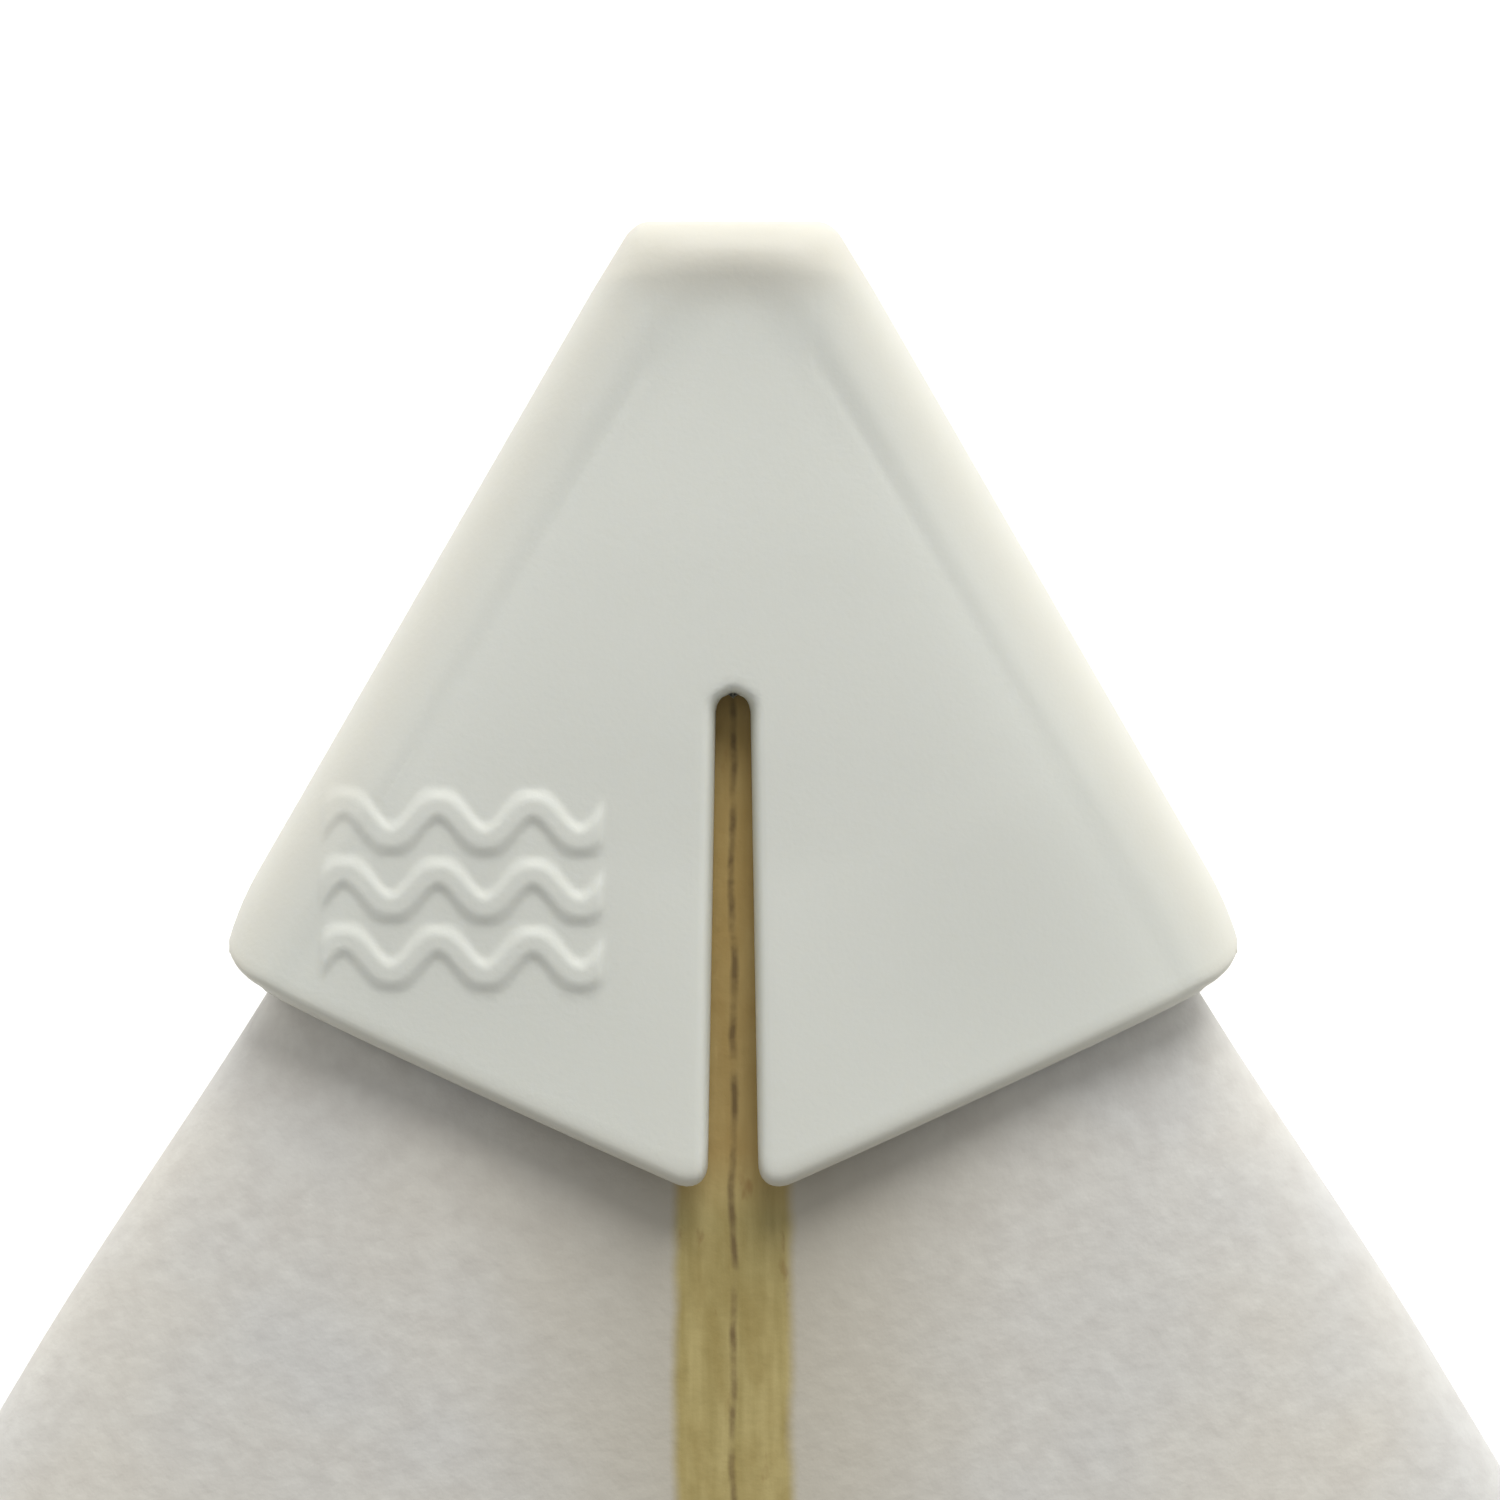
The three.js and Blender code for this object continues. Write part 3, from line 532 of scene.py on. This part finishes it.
# [distance from the axis, height over the deck], from the middle of the cup's underside to its inside.
CUP_PROFILE = [(0, -15), (12.6, -15), (13, -14.6), (13, -2), (15, -2), (15, 0), (14.88, 0.24),
               (14.6, 0.38), (14.2, 0.4), (11.3, 0.4), (10.9, 0.32), (10.6, 0.1), (10.5, -0.3),
               (10.5, -12.2), (10.25, -12.8), (9.7, -13), (0, -13)]
BAR_RADIUS, BAR_LONG, BAR_UNDER, BAR_SLACK = 2, 25, 4.6, 0.3


def brushed_stainless():
    # Cold-drawn bar and turned screws, brushed: bright, with fine marks about 0.25 mm apart.
    values = {"Roughness": 0.28, "Metallic": 1}
    material, tree, shader, place = new_material("drawn_stainless_steel", values)
    marks = add(tree, "TexNoise", {}, {"Scale": 4000, "Detail": 2}, {"Vector": place}).outputs[0]
    colour = add(tree, "Mix", RGB, {6: linear("#b4b5b5"), 7: linear("#c9cac9")}, {0: marks})
    finish(tree, shader, colour.outputs[2], add(tree, "Bump", {}, {"Distance": 0.00001}, {"Height": marks}))
    return material


def cross_bar(bm, radius, extra):
    """A closed cylinder where the bar lies, longer than it at both ends by extra."""
    lying = leash_seat @ Matrix.Translation((0, 0, -BAR_UNDER)) @ Matrix.Rotation(math.pi / 2, 4, "Y")
    return post(bm, lying, radius, -BAR_LONG / 2 - extra, BAR_LONG / 2 + extra, 40)


def leash_plug(nylon, steel):
    """The turned cup, drilled through, and the bar in it."""
    bm = bmesh.new()
    verts = [bm.verts.new((r, 0, z)) for r, z in CUP_PROFILE]
    edges = [bm.edges.new(pair) for pair in zip(verts, verts[1:])]
    bmesh.ops.spin(bm, geom=verts + edges, axis=(0, 0, 1), angle=2 * math.pi, steps=72, use_merge=True)
    bmesh.ops.remove_doubles(bm, verts=bm.verts, dist=1e-3)
    bmesh.ops.transform(bm, matrix=leash_seat, verts=bm.verts)
    bmesh.ops.recalc_face_normals(bm, faces=bm.faces)
    cup = new_piece("leash_cup", bm, nylon, smooth=False)
    hole = bmesh.new()
    cross_bar(hole, BAR_RADIUS + BAR_SLACK, 5)
    cut_away(cup, hole)
    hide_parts("leash_cup")
    rod = bmesh.new()
    cross_bar(rod, BAR_RADIUS, 0)
    ends = [e for e in rod.edges if e.calc_face_angle(0) > 1]
    bmesh.ops.bevel(rod, geom=ends, offset=0.4, offset_type="OFFSET", segments=2, profile=0.5,
                    affect="EDGES", material=-1)
    bar = new_piece("leash_bar", rod, steel)
    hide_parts("leash_bar")


steel = brushed_stainless()
leash_plug(nylon, steel)

# ------------------------------------------------------------------ fins
# Three fins of pressed fibreglass sheet, ground to a foil and hot-coated. The side fins are flat
# inboard. Two tabs on each go into the plugs.

FIN_DEPTH, FIN_SWEEP = 116, -45
LEADING = [(FIN_BASE / 2, 0), (37, -54), (5, -107), (FIN_SWEEP, -FIN_DEPTH)]
TRAILING = [(-FIN_BASE / 2, 0), (-24, -30), (-41, -86), (FIN_SWEEP, -FIN_DEPTH)]
FIN_THICK, TIP_THICK, FIN_GAP, FLAT_INSET = 6.8, 1.2, 0.7, 0.3
TAB_WIDE, TAB_LONG, TAB_DEEP, TAB_ROOT = 4.6, 22, 13, 3
FOIL_COLUMNS, FIN_ROWS = 44, 70


def pressed_fibreglass():
    # Stacked cloth in clear resin: a greenish white, with the weave's cross-hatch, 2 mm apart and so
    # coarser than real to show at all, and the ground-through layers as faint lines round the foil.
    material, tree, shader, place = new_material("pressed_fibreglass", {"Roughness": 0.3, "IOR": 1.52})
    shader.inputs["Coat Weight"].default_value = 0.3
    cloth = add(tree, "TexNoise", {}, {"Scale": 35, "Detail": 3}, {"Vector": place}).outputs[0]
    tint = add(tree, "Mix", RGB, {6: linear("#ccd2c4"), 7: linear("#dbdfd3")}, {0: cloth}).outputs[2]
    thread = {"Scale": 160, "Distortion": 0.4}
    warp = add(tree, "TexWave", {"bands_direction": "Y"}, thread, {"Vector": place}).outputs[1]
    weft = add(tree, "TexWave", {"bands_direction": "Z"}, thread, {"Vector": place}).outputs[1]
    woven = add(tree, "Math", {"operation": "MULTIPLY"}, {}, {0: warp, 1: weft}).outputs[0]
    woven = add(tree, "MapRange", {}, {4: 0.35}, {0: woven}).outputs[0]
    tint = add(tree, "Mix", RGB, {7: linear("#b9c2b2")}, {0: woven, 6: tint}).outputs[2]
    layer = add(tree, "Attribute", {"attribute_name": "layer"}, {}, {}).outputs["Fac"]
    ply = add(tree, "Math", {"operation": "FRACT"}, {}, {0: layer}).outputs[0]
    ply = add(tree, "MapRange", {}, {1: 0, 2: 0.16, 3: 0.45, 4: 0}, {0: ply}).outputs[0]
    tint = add(tree, "Mix", RGB, {7: linear("#aab5a4")}, {0: ply, 6: tint}).outputs[2]
    finish(tree, shader, tint)
    return material


def curve_point(corners, t):
    """A point of a cubic curve from its four control points."""
    shares = [(1 - t) ** 3, 3 * t * (1 - t) ** 2, 3 * t * t * (1 - t), t ** 3]
    return [sum(share * corner[axis] for share, corner in zip(shares, corners)) for axis in (0, 1)]


def foil(share):
    """A foil's thickness at a share of its chord from the front: 1 where it is thickest."""
    c = min(max(share, 0), 1)
    return 10 * (0.2969 * math.sqrt(c) - 0.126 * c - 0.3516 * c ** 2 + 0.2843 * c ** 3 - 0.1036 * c ** 4)


def fin(name, glass):
    """A foiled blade with two tabs. The side fins have all their bulge outboard."""
    side = SIDES[name]

    def place(column, row):
        down = math.sin(math.pi / 2 * row / FIN_ROWS)
        front, back = curve_point(LEADING, down), curve_point(TRAILING, down)
        share = (1 - math.cos(math.pi * column / FOIL_COLUMNS)) / 2
        bulge = (FIN_THICK + (TIP_THICK - FIN_THICK) * down) * foil(share) * round_off(1 - down, 0.012)
        outer = column < FOIL_COLUMNS
        even = (0.5 if outer else -0.5) * bulge
        flat = side * ((bulge if outer else 0) - FIN_THICK / 2 + FLAT_INSET)
        y, z = (front[n] + (back[n] - front[n]) * share for n in (0, 1))
        return Vector((flat if side else even, y, z - FIN_GAP))

    bm = laid_grid(2 * FOIL_COLUMNS, FIN_ROWS, place)
    base = [e for e in bm.edges if e.is_boundary and all(v.co.z > -FIN_GAP - 0.01 for v in e.verts)]
    bmesh.ops.holes_fill(bm, edges=base, sides=0)
    for y in TABS.values():
        size = Matrix.Diagonal((TAB_WIDE, TAB_LONG, TAB_DEEP + TAB_ROOT, 1))
        middle = Matrix.Translation((0, y, (TAB_DEEP - TAB_ROOT) / 2))
        tab = bmesh.ops.create_cube(bm, size=1, matrix=middle @ size)["verts"]
        edges = list({e for v in tab for e in v.link_edges})
        bmesh.ops.bevel(bm, geom=edges, offset=0.6, offset_type="OFFSET", segments=3, profile=0.5,
                        affect="EDGES", material=-1)
    bmesh.ops.recalc_face_normals(bm, faces=bm.faces)
    # How many layers of cloth lie between a point and the flat side, or the middle of the centre fin.
    layer = bm.verts.layers.float.new("layer")
    for vert in bm.verts:
        vert[layer] = abs(vert.co.x - side * (FLAT_INSET - FIN_THICK / 2)) / (1.1 if side else 0.55)
    bmesh.ops.transform(bm, matrix=fin_seat(side), verts=bm.verts)
    piece = new_piece(f"fin_{name}", bm, glass, f"fin_{name}")
    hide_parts(f"fin_{name}")


glass = pressed_fibreglass()
for name in SIDES:
    fin(name, glass)

# ------------------------------------------------------------------ fin screws
# Cone-pointed grub screws of stainless steel with a hex socket, one in each plug, turned with a
# small key until the point grips the tab.

SCREW_RADIUS, SCREW_LONG, HEX_RADIUS, HEX_DEEP = 2.4, 8.5, 1.45, 3


def grub_screw(name, end, steel):
    """A turned screw, point first, with a hex socket cut into its head."""
    bm = bmesh.new()
    profile = [(0, 0), (SCREW_RADIUS, SCREW_RADIUS), (SCREW_RADIUS, SCREW_LONG - 0.4),
               (SCREW_RADIUS - 0.4, SCREW_LONG), (0, SCREW_LONG)]
    verts = [bm.verts.new((r, 0, z)) for r, z in profile]
    edges = [bm.edges.new(pair) for pair in zip(verts, verts[1:])]
    bmesh.ops.spin(bm, geom=verts + edges, axis=(0, 0, 1), angle=2 * math.pi, steps=40, use_merge=True)
    bmesh.ops.remove_doubles(bm, verts=bm.verts, dist=1e-3)
    bmesh.ops.transform(bm, matrix=screw_place(name, end), verts=bm.verts)
    bmesh.ops.recalc_face_normals(bm, faces=bm.faces)
    piece = new_piece(f"fin_screw_{name}_{end}", bm, steel, f"fin_screw_{name}_{end}", smooth=False)
    socket = bmesh.new()
    post(socket, screw_place(name, end), HEX_RADIUS, SCREW_LONG - HEX_DEEP, SCREW_LONG + 3, 6)
    cut_away(piece, socket)
    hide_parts(f"fin_screw_{name}_{end}")


for name, end in plug_seats:
    grub_screw(name, end, steel)

# ------------------------------------------------------------------ nose guard adhesive
# A film of clear acrylic adhesive on the deck side of the nose, which holds the guard. It stops
# short of the slot and is cut off 3 mm short of the two flaps' ends.

GUARD_TIP = HALF + GUARD_AHEAD
POINT_HALF, DECK_SLOPE = 2.5, 0.24
FILM_BACK, FILM_SLOPE = 53, 0.5


def acrylic_adhesive():
    # Cast and rolled out: milky and soft, with trapped bubbles about a millimetre across.
    material, tree, shader, place = new_material("acrylic_adhesive", {"Roughness": 0.35, "IOR": 1.47})
    bubbles = add(tree, "TexNoise", {}, {"Scale": 900, "Detail": 2}, {"Vector": place}).outputs[0]
    colour = add(tree, "Mix", RGB, {6: linear("#dedbcf"), 7: linear("#ecebe3")}, {0: bubbles})
    finish(tree, shader, colour.outputs[2])
    return material


def adhesive_film(adhesive):
    """The CAD's film, cut along both flaps."""
    drawn = frame["nodes"]["nose_guard_adhesive"]
    film = bmesh.new()
    film.from_mesh(drawn.data)
    bmesh.ops.transform(film, matrix=board.inverted() @ drawn.matrix_world, verts=film.verts)
    bmesh.ops.remove_doubles(film, verts=film.verts, dist=0.001)
    at = GUARD_TIP - FILM_BACK
    for side in (-1, 1):
        everything = film.verts[:] + film.edges[:] + film.faces[:]
        bmesh.ops.bisect_plane(film, geom=everything, dist=1e-4, clear_outer=True,
                               plane_co=(side * POINT_HALF, at, deck_height(0, at)),
                               plane_no=(side * FILM_SLOPE, -1, -DECK_SLOPE))
    cut = [e for e in film.edges if e.is_boundary]
    bmesh.ops.holes_fill(film, edges=cut, sides=0)
    bmesh.ops.recalc_face_normals(film, faces=film.faces)
    piece = new_piece("nose_guard_adhesive", film, adhesive, smooth=False)
    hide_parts("nose_guard_adhesive")


adhesive_film(acrylic_adhesive())

# ------------------------------------------------------------------ nose guard
# A cap of soft off-white silicone, moulded in one piece, that wraps the nose and is glued on. Its
# skirt is open underneath, and a slot over the stringer lets the two flaps bend to the deck. The
# sides carry a soft raised rim with a shallow dish inside it, and the left flap three small waves.

# Outline: the tip, the sides, the flaps' points and slanting ends, and the slot's end and mouth.
TIP_HALF, SIDE_SLOPE, SIDE_LIMIT = 5.9, 0.593, 30.8
POINT_BACK, FLAP_SLOPE, MOUTH_ROUND = 55.8, 0.43, 2.0
SLOT_TOP, SLOT_RADIUS, SLOT_MOUTH = 27.3, 1.0, 1.5
# Section: the wall over the bedding, thinned over so long a run at the nose and at the flaps' ends.
WALL, BEDDING, EDGE_ROUND, LIP, LINING = 3.5, 0.35, 0.8, 9.0, 0.3
NOSE_THIN, NOSE_RUN, FLAP_THIN, FLAP_RUN = 1.3, 31, 1.1, 17
BEAD, DISH, LIFT, SQUARE_AT = 0.22, 0.34, 1.5, 6.8
# Waves: the first one's distance back, their pitches, swing and steepness, and where they are.
WAVE_FIRST, WAVE_APART, WAVE_LONG, WAVE_SWING, WAVE_STEEP = 34.6, 3.9, 5.6, 0.95, 1.06
WAVE_X, WAVE_REACH, WAVE_RAISED = -16, 8.6, 0.28

near_slot = [0, 0.03, 0.1, 0.22, 0.4, 0.62, 0.9, 1.25, 1.7, 2.3]
FLAP_COLUMNS, LIP_COLUMNS = 66, 16
GUARD_COLUMNS = len(near_slot) - 1 + FLAP_COLUMNS + LIP_COLUMNS


def smooth_step(value, low, high):
    """0 at low and 1 at high, with no corner at either."""
    t = min(max((value - low) / (high - low), 0), 1)
    return t * t * (3 - 2 * t)


def guard_half(back):
    """Half the guard's width before its corners are trimmed, with a blunt tip."""
    return (TIP_HALF + SIDE_SLOPE * back) * (1 - 0.14 * (1 - round_off(back, 0.9)))


def slot_half(back):
    """Half the slot's width: nothing ahead of it, a round end, then widening to its mouth."""
    if back <= SLOT_TOP:
        return 0
    widening = SLOT_RADIUS + (SLOT_MOUTH - SLOT_RADIUS) * (back - SLOT_TOP) / (POINT_BACK - SLOT_TOP)
    return widening * round_off(back - SLOT_TOP, SLOT_RADIUS)


def from_slot(x, back):
    """How far a point of the deck side is from the slot."""
    centre = SLOT_TOP + SLOT_RADIUS
    if back < centre:
        return math.hypot(x, back - centre) - SLOT_RADIUS
    return abs(x) - slot_half(back)


def flap_end(x):
    """How far back the guard reaches, a side's distance out: slanting flaps with rounded corners."""
    straight = POINT_BACK - (x - POINT_HALF) * FLAP_SLOPE
    inner = MOUTH_ROUND * (1 - round_off(x - slot_half(POINT_BACK - 1), MOUTH_ROUND))
    outer = 0.9 * (1 - round_off(SIDE_LIMIT - 0.5 - x, 1.6))
    return straight - inner - outer


def soft_limit(value, limit, blend=2.4):
    """The smaller of a value and its limit, blended where they cross."""
    share = min(max(0.5 + 0.5 * (limit - value) / blend, 0), 1)
    return limit * (1 - share) + value * share - blend * share * (1 - share)


def guard_across(column, back):
    """A column's share of the half width, and whether it is on the deck side or under the rail."""
    wide = guard_half(back)
    inner = len(near_slot) - 1
    if column <= inner:
        return (slot_half(back) + between(near_slot, column)) / wide, True
    if column <= inner + FLAP_COLUMNS:
        start = (slot_half(back) + near_slot[-1]) / wide
        return start + (1 - start) * math.sin(math.pi / 2 * (column - inner) / FLAP_COLUMNS), True
    under = (column - inner - FLAP_COLUMNS) / LIP_COLUMNS
    return 1 - min(LIP / wide, 1) * (1 - math.cos(math.pi / 2 * under)), False


def column_end(column):
    """How far back a column runs before it meets the flap's slanting edge."""
    back = 50
    for _ in range(12):
        across, _side = guard_across(column, back)
        back = flap_end(soft_limit(across * guard_half(back), SIDE_LIMIT))
    return back


centre_end = column_end(0)
guard_rows = [0, 0.12, 0.3, 0.55, 0.9, 1.3] + [1.8 + (SLOT_TOP - 3) * k / 50 for k in range(51)]
guard_rows += [SLOT_TOP - ahead for ahead in (0.95, 0.75, 0.58, 0.43, 0.3, 0.2, 0.12, 0.06, 0.02)]
guard_rows += [SLOT_TOP + past for past in (0, 0.02, 0.08, 0.18, 0.34, 0.6, 1)]
straight_run = centre_end - 1.3 - guard_rows[-1]
guard_rows += [guard_rows[-1] + straight_run * k / 50 for k in range(1, 51)]
guard_rows += [centre_end - left for left in (1.05, 0.8, 0.58, 0.4, 0.26, 0.15, 0.07, 0.02, 0)]


def wave_relief(x, back):
    """Height of the three small waves raised on the left flap."""
    height = 0
    phase = 2 * math.pi * (x - WAVE_X) / WAVE_LONG
    lean = math.cos(math.atan(WAVE_STEEP * math.cos(phase)))
    ends = smooth_step(abs(x - WAVE_X), WAVE_REACH, WAVE_REACH - 0.6)
    for row in range(3):
        crest = WAVE_FIRST + WAVE_APART * row + WAVE_SWING * math.sin(phase)
        height = max(height, smooth_step(abs(back - crest) * lean, 1.15, 0.3) * ends)
    return WAVE_RAISED * height


def guard_cover(across, back, x):
    """Thickness over the deck: dished behind the tip, a soft bead along the sides, tapering flaps."""
    from_side = (1 - across) * guard_half(back)
    bead = BEAD * smooth_step(from_side, 5.9, 3.9) * smooth_step(back, 2, 12)
    dished = smooth_step(back, 1.2, 5.2) * (1 - smooth_step(back, 6, 20))
    valley = DISH * dished * smooth_step(from_side, 3, 8)
    nose = NOSE_THIN * (1 - smooth_step(back, 0, NOSE_RUN))
    end = flap_end(min(abs(x), SIDE_LIMIT))
    taper = FLAP_THIN * smooth_step(back, end - FLAP_RUN, end + 2)
    return WALL + bead - valley - nose - taper + wave_relief(x, back)


def flap_lift(x, back):
    """The stiff flaps stand off the deck a little at their points."""
    return LIFT * smooth_step(back, 36, 57) * (1 - smooth_step(abs(x), 4, 28))


def guard_rise(across, back):
    """Share of the guard's height over the rail line: flatter on top than the deck, with fuller sides."""
    power = 4.2 - 0.5 * smooth_step(back, 10, 50)
    return (1 - min(across, 1) ** power) ** (1 / power)


def edge_share(column, across, upper, back, end):
    """1 in the open, falling to 0 along the flap's end, the slot and the lip, to round those edges."""
    def rounded(off):
        return (1 - (1 - min(max(off / EDGE_ROUND, 0), 1)) ** 2.6) ** (1 / 2.6)

    share = rounded((end - back) * 0.91)
    if upper:
        return share * rounded(from_slot(across * guard_half(back), back))
    wide = guard_half(back)
    lip = rounded((across - 1) * wide + min(LIP, wide))
    return share * (1 - (1 - lip) * smooth_step(wide, LIP, LIP + 2))


def squared(z):
    """How far forward a height carries a point, to set the tip and the flaps' ends square to the deck."""
    return (SQUARE_AT - max(z, -1)) * DECK_SLOPE


def guard_place(side, column, row):
    """A point of the guard's outside, between the board's surface and the guard's full wall."""
    end = column_end(column)
    back = between(guard_rows, row) / centre_end * end
    y = GUARD_TIP - back
    across, upper = guard_across(column, back)
    wide = guard_half(back)
    blunt = 1 - 0.26 * (1 - round_off(back, 2.2))
    outer_x = soft_limit(across * wide, SIDE_LIMIT)
    lift = flap_lift(outer_x, back) if upper else 0
    # The inside lies on the board, wherever squaring the end to the deck carries it.
    inner_z = 0
    for _ in range(3):
        inner_y = y + squared(inner_z)
        thick = faired(THICKNESS, max(HALF - inner_y, 0))
        share = faired(RAIL_LINE, max(HALF - inner_y, 0))
        near_half = half_width(min(inner_y, HALF - 4)) + BEDDING
        if upper:
            inner_x = min(outer_x, near_half)
            inner_z = ((1 - share) * thick + BEDDING) * deck_rise(min(outer_x / near_half, 1)) + lift
        else:
            inner_x = across * near_half
            inner_z = -(share * thick + BEDDING) * bottom_drop(across, inner_y)
    if upper:
        cover = guard_cover(across, back, side * outer_x)
        outer_z = blunt * ((1 - share) * thick + cover) * guard_rise(across, back) + lift * 0.8
    else:
        outer_z = -blunt * (share * thick + WALL) * bottom_drop(across, y)
    kept = edge_share(column, across, upper, back, end)
    x = inner_x + (outer_x - inner_x) * kept
    z = inner_z + (outer_z - inner_z) * kept
    y += squared(z)
    return Vector((side * x, y, rail_height(min(y, HALF)) + z))


def moulded_silicone():
    # Soft off-white silicone from a finely eroded mould: satin, slightly see-through at the edges,
    # with an even grain of about 0.3 mm.
    material, tree, shader, place = new_material("moulded_silicone", {"Roughness": 0.5, "IOR": 1.41})
    shader.inputs["Subsurface Weight"].default_value = 0.3
    shader.inputs["Subsurface Radius"].default_value = (0.0024, 0.0021, 0.0016)
    shader.inputs["Subsurface Scale"].default_value = 1
    batch = add(tree, "TexNoise", {}, {"Scale": 40, "Detail": 2}, {"Vector": place}).outputs[0]
    colour = add(tree, "Mix", RGB, {6: linear("#e5e6d8"), 7: linear("#ebebde")}, {0: batch}).outputs[2]
    # Painted light: round the tip and along the sides the silicone is painted warmer, for light shining
    # through its thin edges.
    rim = add(tree, "Attribute", {"attribute_name": "rim"}, {}, {}).outputs["Fac"]
    colour = add(tree, "Mix", RGB, {7: linear("#dcd7c6")}, {0: rim, 6: colour}).outputs[2]
    # The last millimetre or two of the flaps is painted a darker greyish brown.
    darker_flap_ends = add(tree, "Attribute", {"attribute_name": "darker_flap_ends"}, {}, {}).outputs["Fac"]
    colour = add(tree, "Mix", RGB, {7: linear("#9a8f7c")}, {0: darker_flap_ends, 6: colour}).outputs[2]
    grain = add(tree, "TexNoise", {}, {"Scale": 3000, "Detail": 2}, {"Vector": place}).outputs[0]
    finish(tree, shader, colour, add(tree, "Bump", {}, {"Distance": 0.000012}, {"Height": grain}))
    return material


def over_waves(column, row):
    """Whether a cell of the left half is under the waves, which need a finer grid."""
    spot = guard_place(-1, column, row)
    return -25.5 < spot.x < -6.5 and 31 < GUARD_TIP - spot.y < 45.5 and column < 70


def nose_guard():
    """Both halves laid from the slot round the rail, joined ahead of the slot and closed at the tip."""
    whole = bmesh.new()
    for side in (-1, 1):
        half = laid_grid(GUARD_COLUMNS, len(guard_rows) - 1, lambda c, r: guard_place(side, c, r),
                         over_waves if side < 0 else None)
        mesh = bpy.data.meshes.new("half")
        half.to_mesh(mesh)
        half.free()
        whole.from_mesh(mesh)
        bpy.data.meshes.remove(mesh)
    bmesh.ops.remove_doubles(whole, verts=whole.verts, dist=0.004)
    tip = [e for e in whole.edges if e.is_boundary and all(v.co.y > GUARD_TIP - 0.6 for v in e.verts)]
    bmesh.ops.holes_fill(whole, edges=tip, sides=0)
    bmesh.ops.recalc_face_normals(whole, faces=whole.faces)
    # Painted light: "rim" marks the tip and the sides, which the material paints warmer as if lit through
    # the thin silicone.
    rim = whole.verts.layers.float.new("rim")
    # The flaps' last 1.9 mm are marked here to be painted a darker greyish brown.
    darker_flap_ends = whole.verts.layers.float.new("darker_flap_ends")
    for vert in whole.verts:
        height = vert.co.z - rail_height(min(vert.co.y, HALF))
        from_end = flap_end(abs(vert.co.x)) - (GUARD_TIP + squared(height) - vert.co.y)
        vert[darker_flap_ends] = 0.45 * smooth_step(from_end, 1.9, 0)
        back = max(GUARD_TIP - vert.co.y, 0)
        from_side = guard_half(back) - abs(vert.co.x)
        vert[rim] = max(0.65 * smooth_step(from_side, 6, 1), smooth_step(back, 7, 2))
    piece = new_piece("nose_guard", whole, moulded_silicone())
    thicken(piece, LINING)
    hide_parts("nose_guard")


nose_guard()

# ------------------------------------------------------------------ ground and light
# A plain white ground, a broad soft lamp low beyond the nose, and a sky like a bright tent, whose
# walls near the horizon are lighter than its roof, and lighter ahead of the nose than behind.

SKY_WALLS, SKY_ROOF, SKY_BEHIND, SKY_AHEAD = 0.82, 0.31, 0.6, 1.25
LAMP_POWER, LAMP_ANGLE, LAMP_FROM = 2.4, 40, (0.2, 1, 0.68)
GROUND_HALF, GROUND_GLOW = 40, 0.4


def white_ground():
    # Matt paper with a faint cloudiness, lit from all round so that it stays near white.
    material, tree, shader, place = new_material("white_paper_ground", {"Roughness": 0.9})
    shader.inputs["Emission Color"].default_value = (1, 1, 1, 1)
    shader.inputs["Emission Strength"].default_value = GROUND_GLOW
    fibre = add(tree, "TexNoise", {}, {"Scale": 20, "Detail": 3}, {"Vector": place}).outputs[0]
    colour = add(tree, "Mix", RGB, {6: linear("#f0f0f0"), 7: linear("#f4f4f4")}, {0: fibre})
    finish(tree, shader, colour.outputs[2])
    return material


def studio():
    """Lays the ground, and sets up the sky and the lamp."""
    bm = bmesh.new()
    bmesh.ops.create_grid(bm, x_segments=1, y_segments=1, size=GROUND_HALF)
    mesh = bpy.data.meshes.new("ground")
    bm.to_mesh(mesh)
    bm.free()
    mesh.materials.append(white_ground())
    ground = bpy.data.objects.new("ground", mesh)
    bpy.context.scene.collection.objects.link(ground)

    sky = bpy.data.worlds.new("sky")
    sky.use_nodes = True
    tree = sky.node_tree
    direction = tree.nodes.new("ShaderNodeTexCoord").outputs["Generated"]
    _across, front, height = add(tree, "SeparateXYZ", {}, {}, {0: direction}).outputs
    tent = add(tree, "MapRange", {}, {1: 0, 2: 1, 3: SKY_WALLS, 4: SKY_ROOF}, {0: height}).outputs[0]
    front = add(tree, "MapRange", {}, {1: -1, 2: 1, 3: SKY_BEHIND, 4: SKY_AHEAD}, {0: front}).outputs[0]
    light = add(tree, "Math", {"operation": "MULTIPLY"}, {}, {0: tent, 1: front}).outputs[0]
    tree.links.new(light, tree.nodes["Background"].inputs["Strength"])
    tree.nodes["Background"].inputs["Color"].default_value = (1, 1, 1, 1)
    bpy.context.scene.world = sky

    lamp = bpy.data.objects.new("lamp", bpy.data.lights.new("lamp", "SUN"))
    lamp.data.energy, lamp.data.angle = LAMP_POWER, math.radians(LAMP_ANGLE)
    lamp.rotation_euler = (-Vector(LAMP_FROM)).to_track_quat("-Z", "Y").to_euler()
    bpy.context.scene.collection.objects.link(lamp)


studio()
bpy.context.scene.view_settings.view_transform = "Standard"
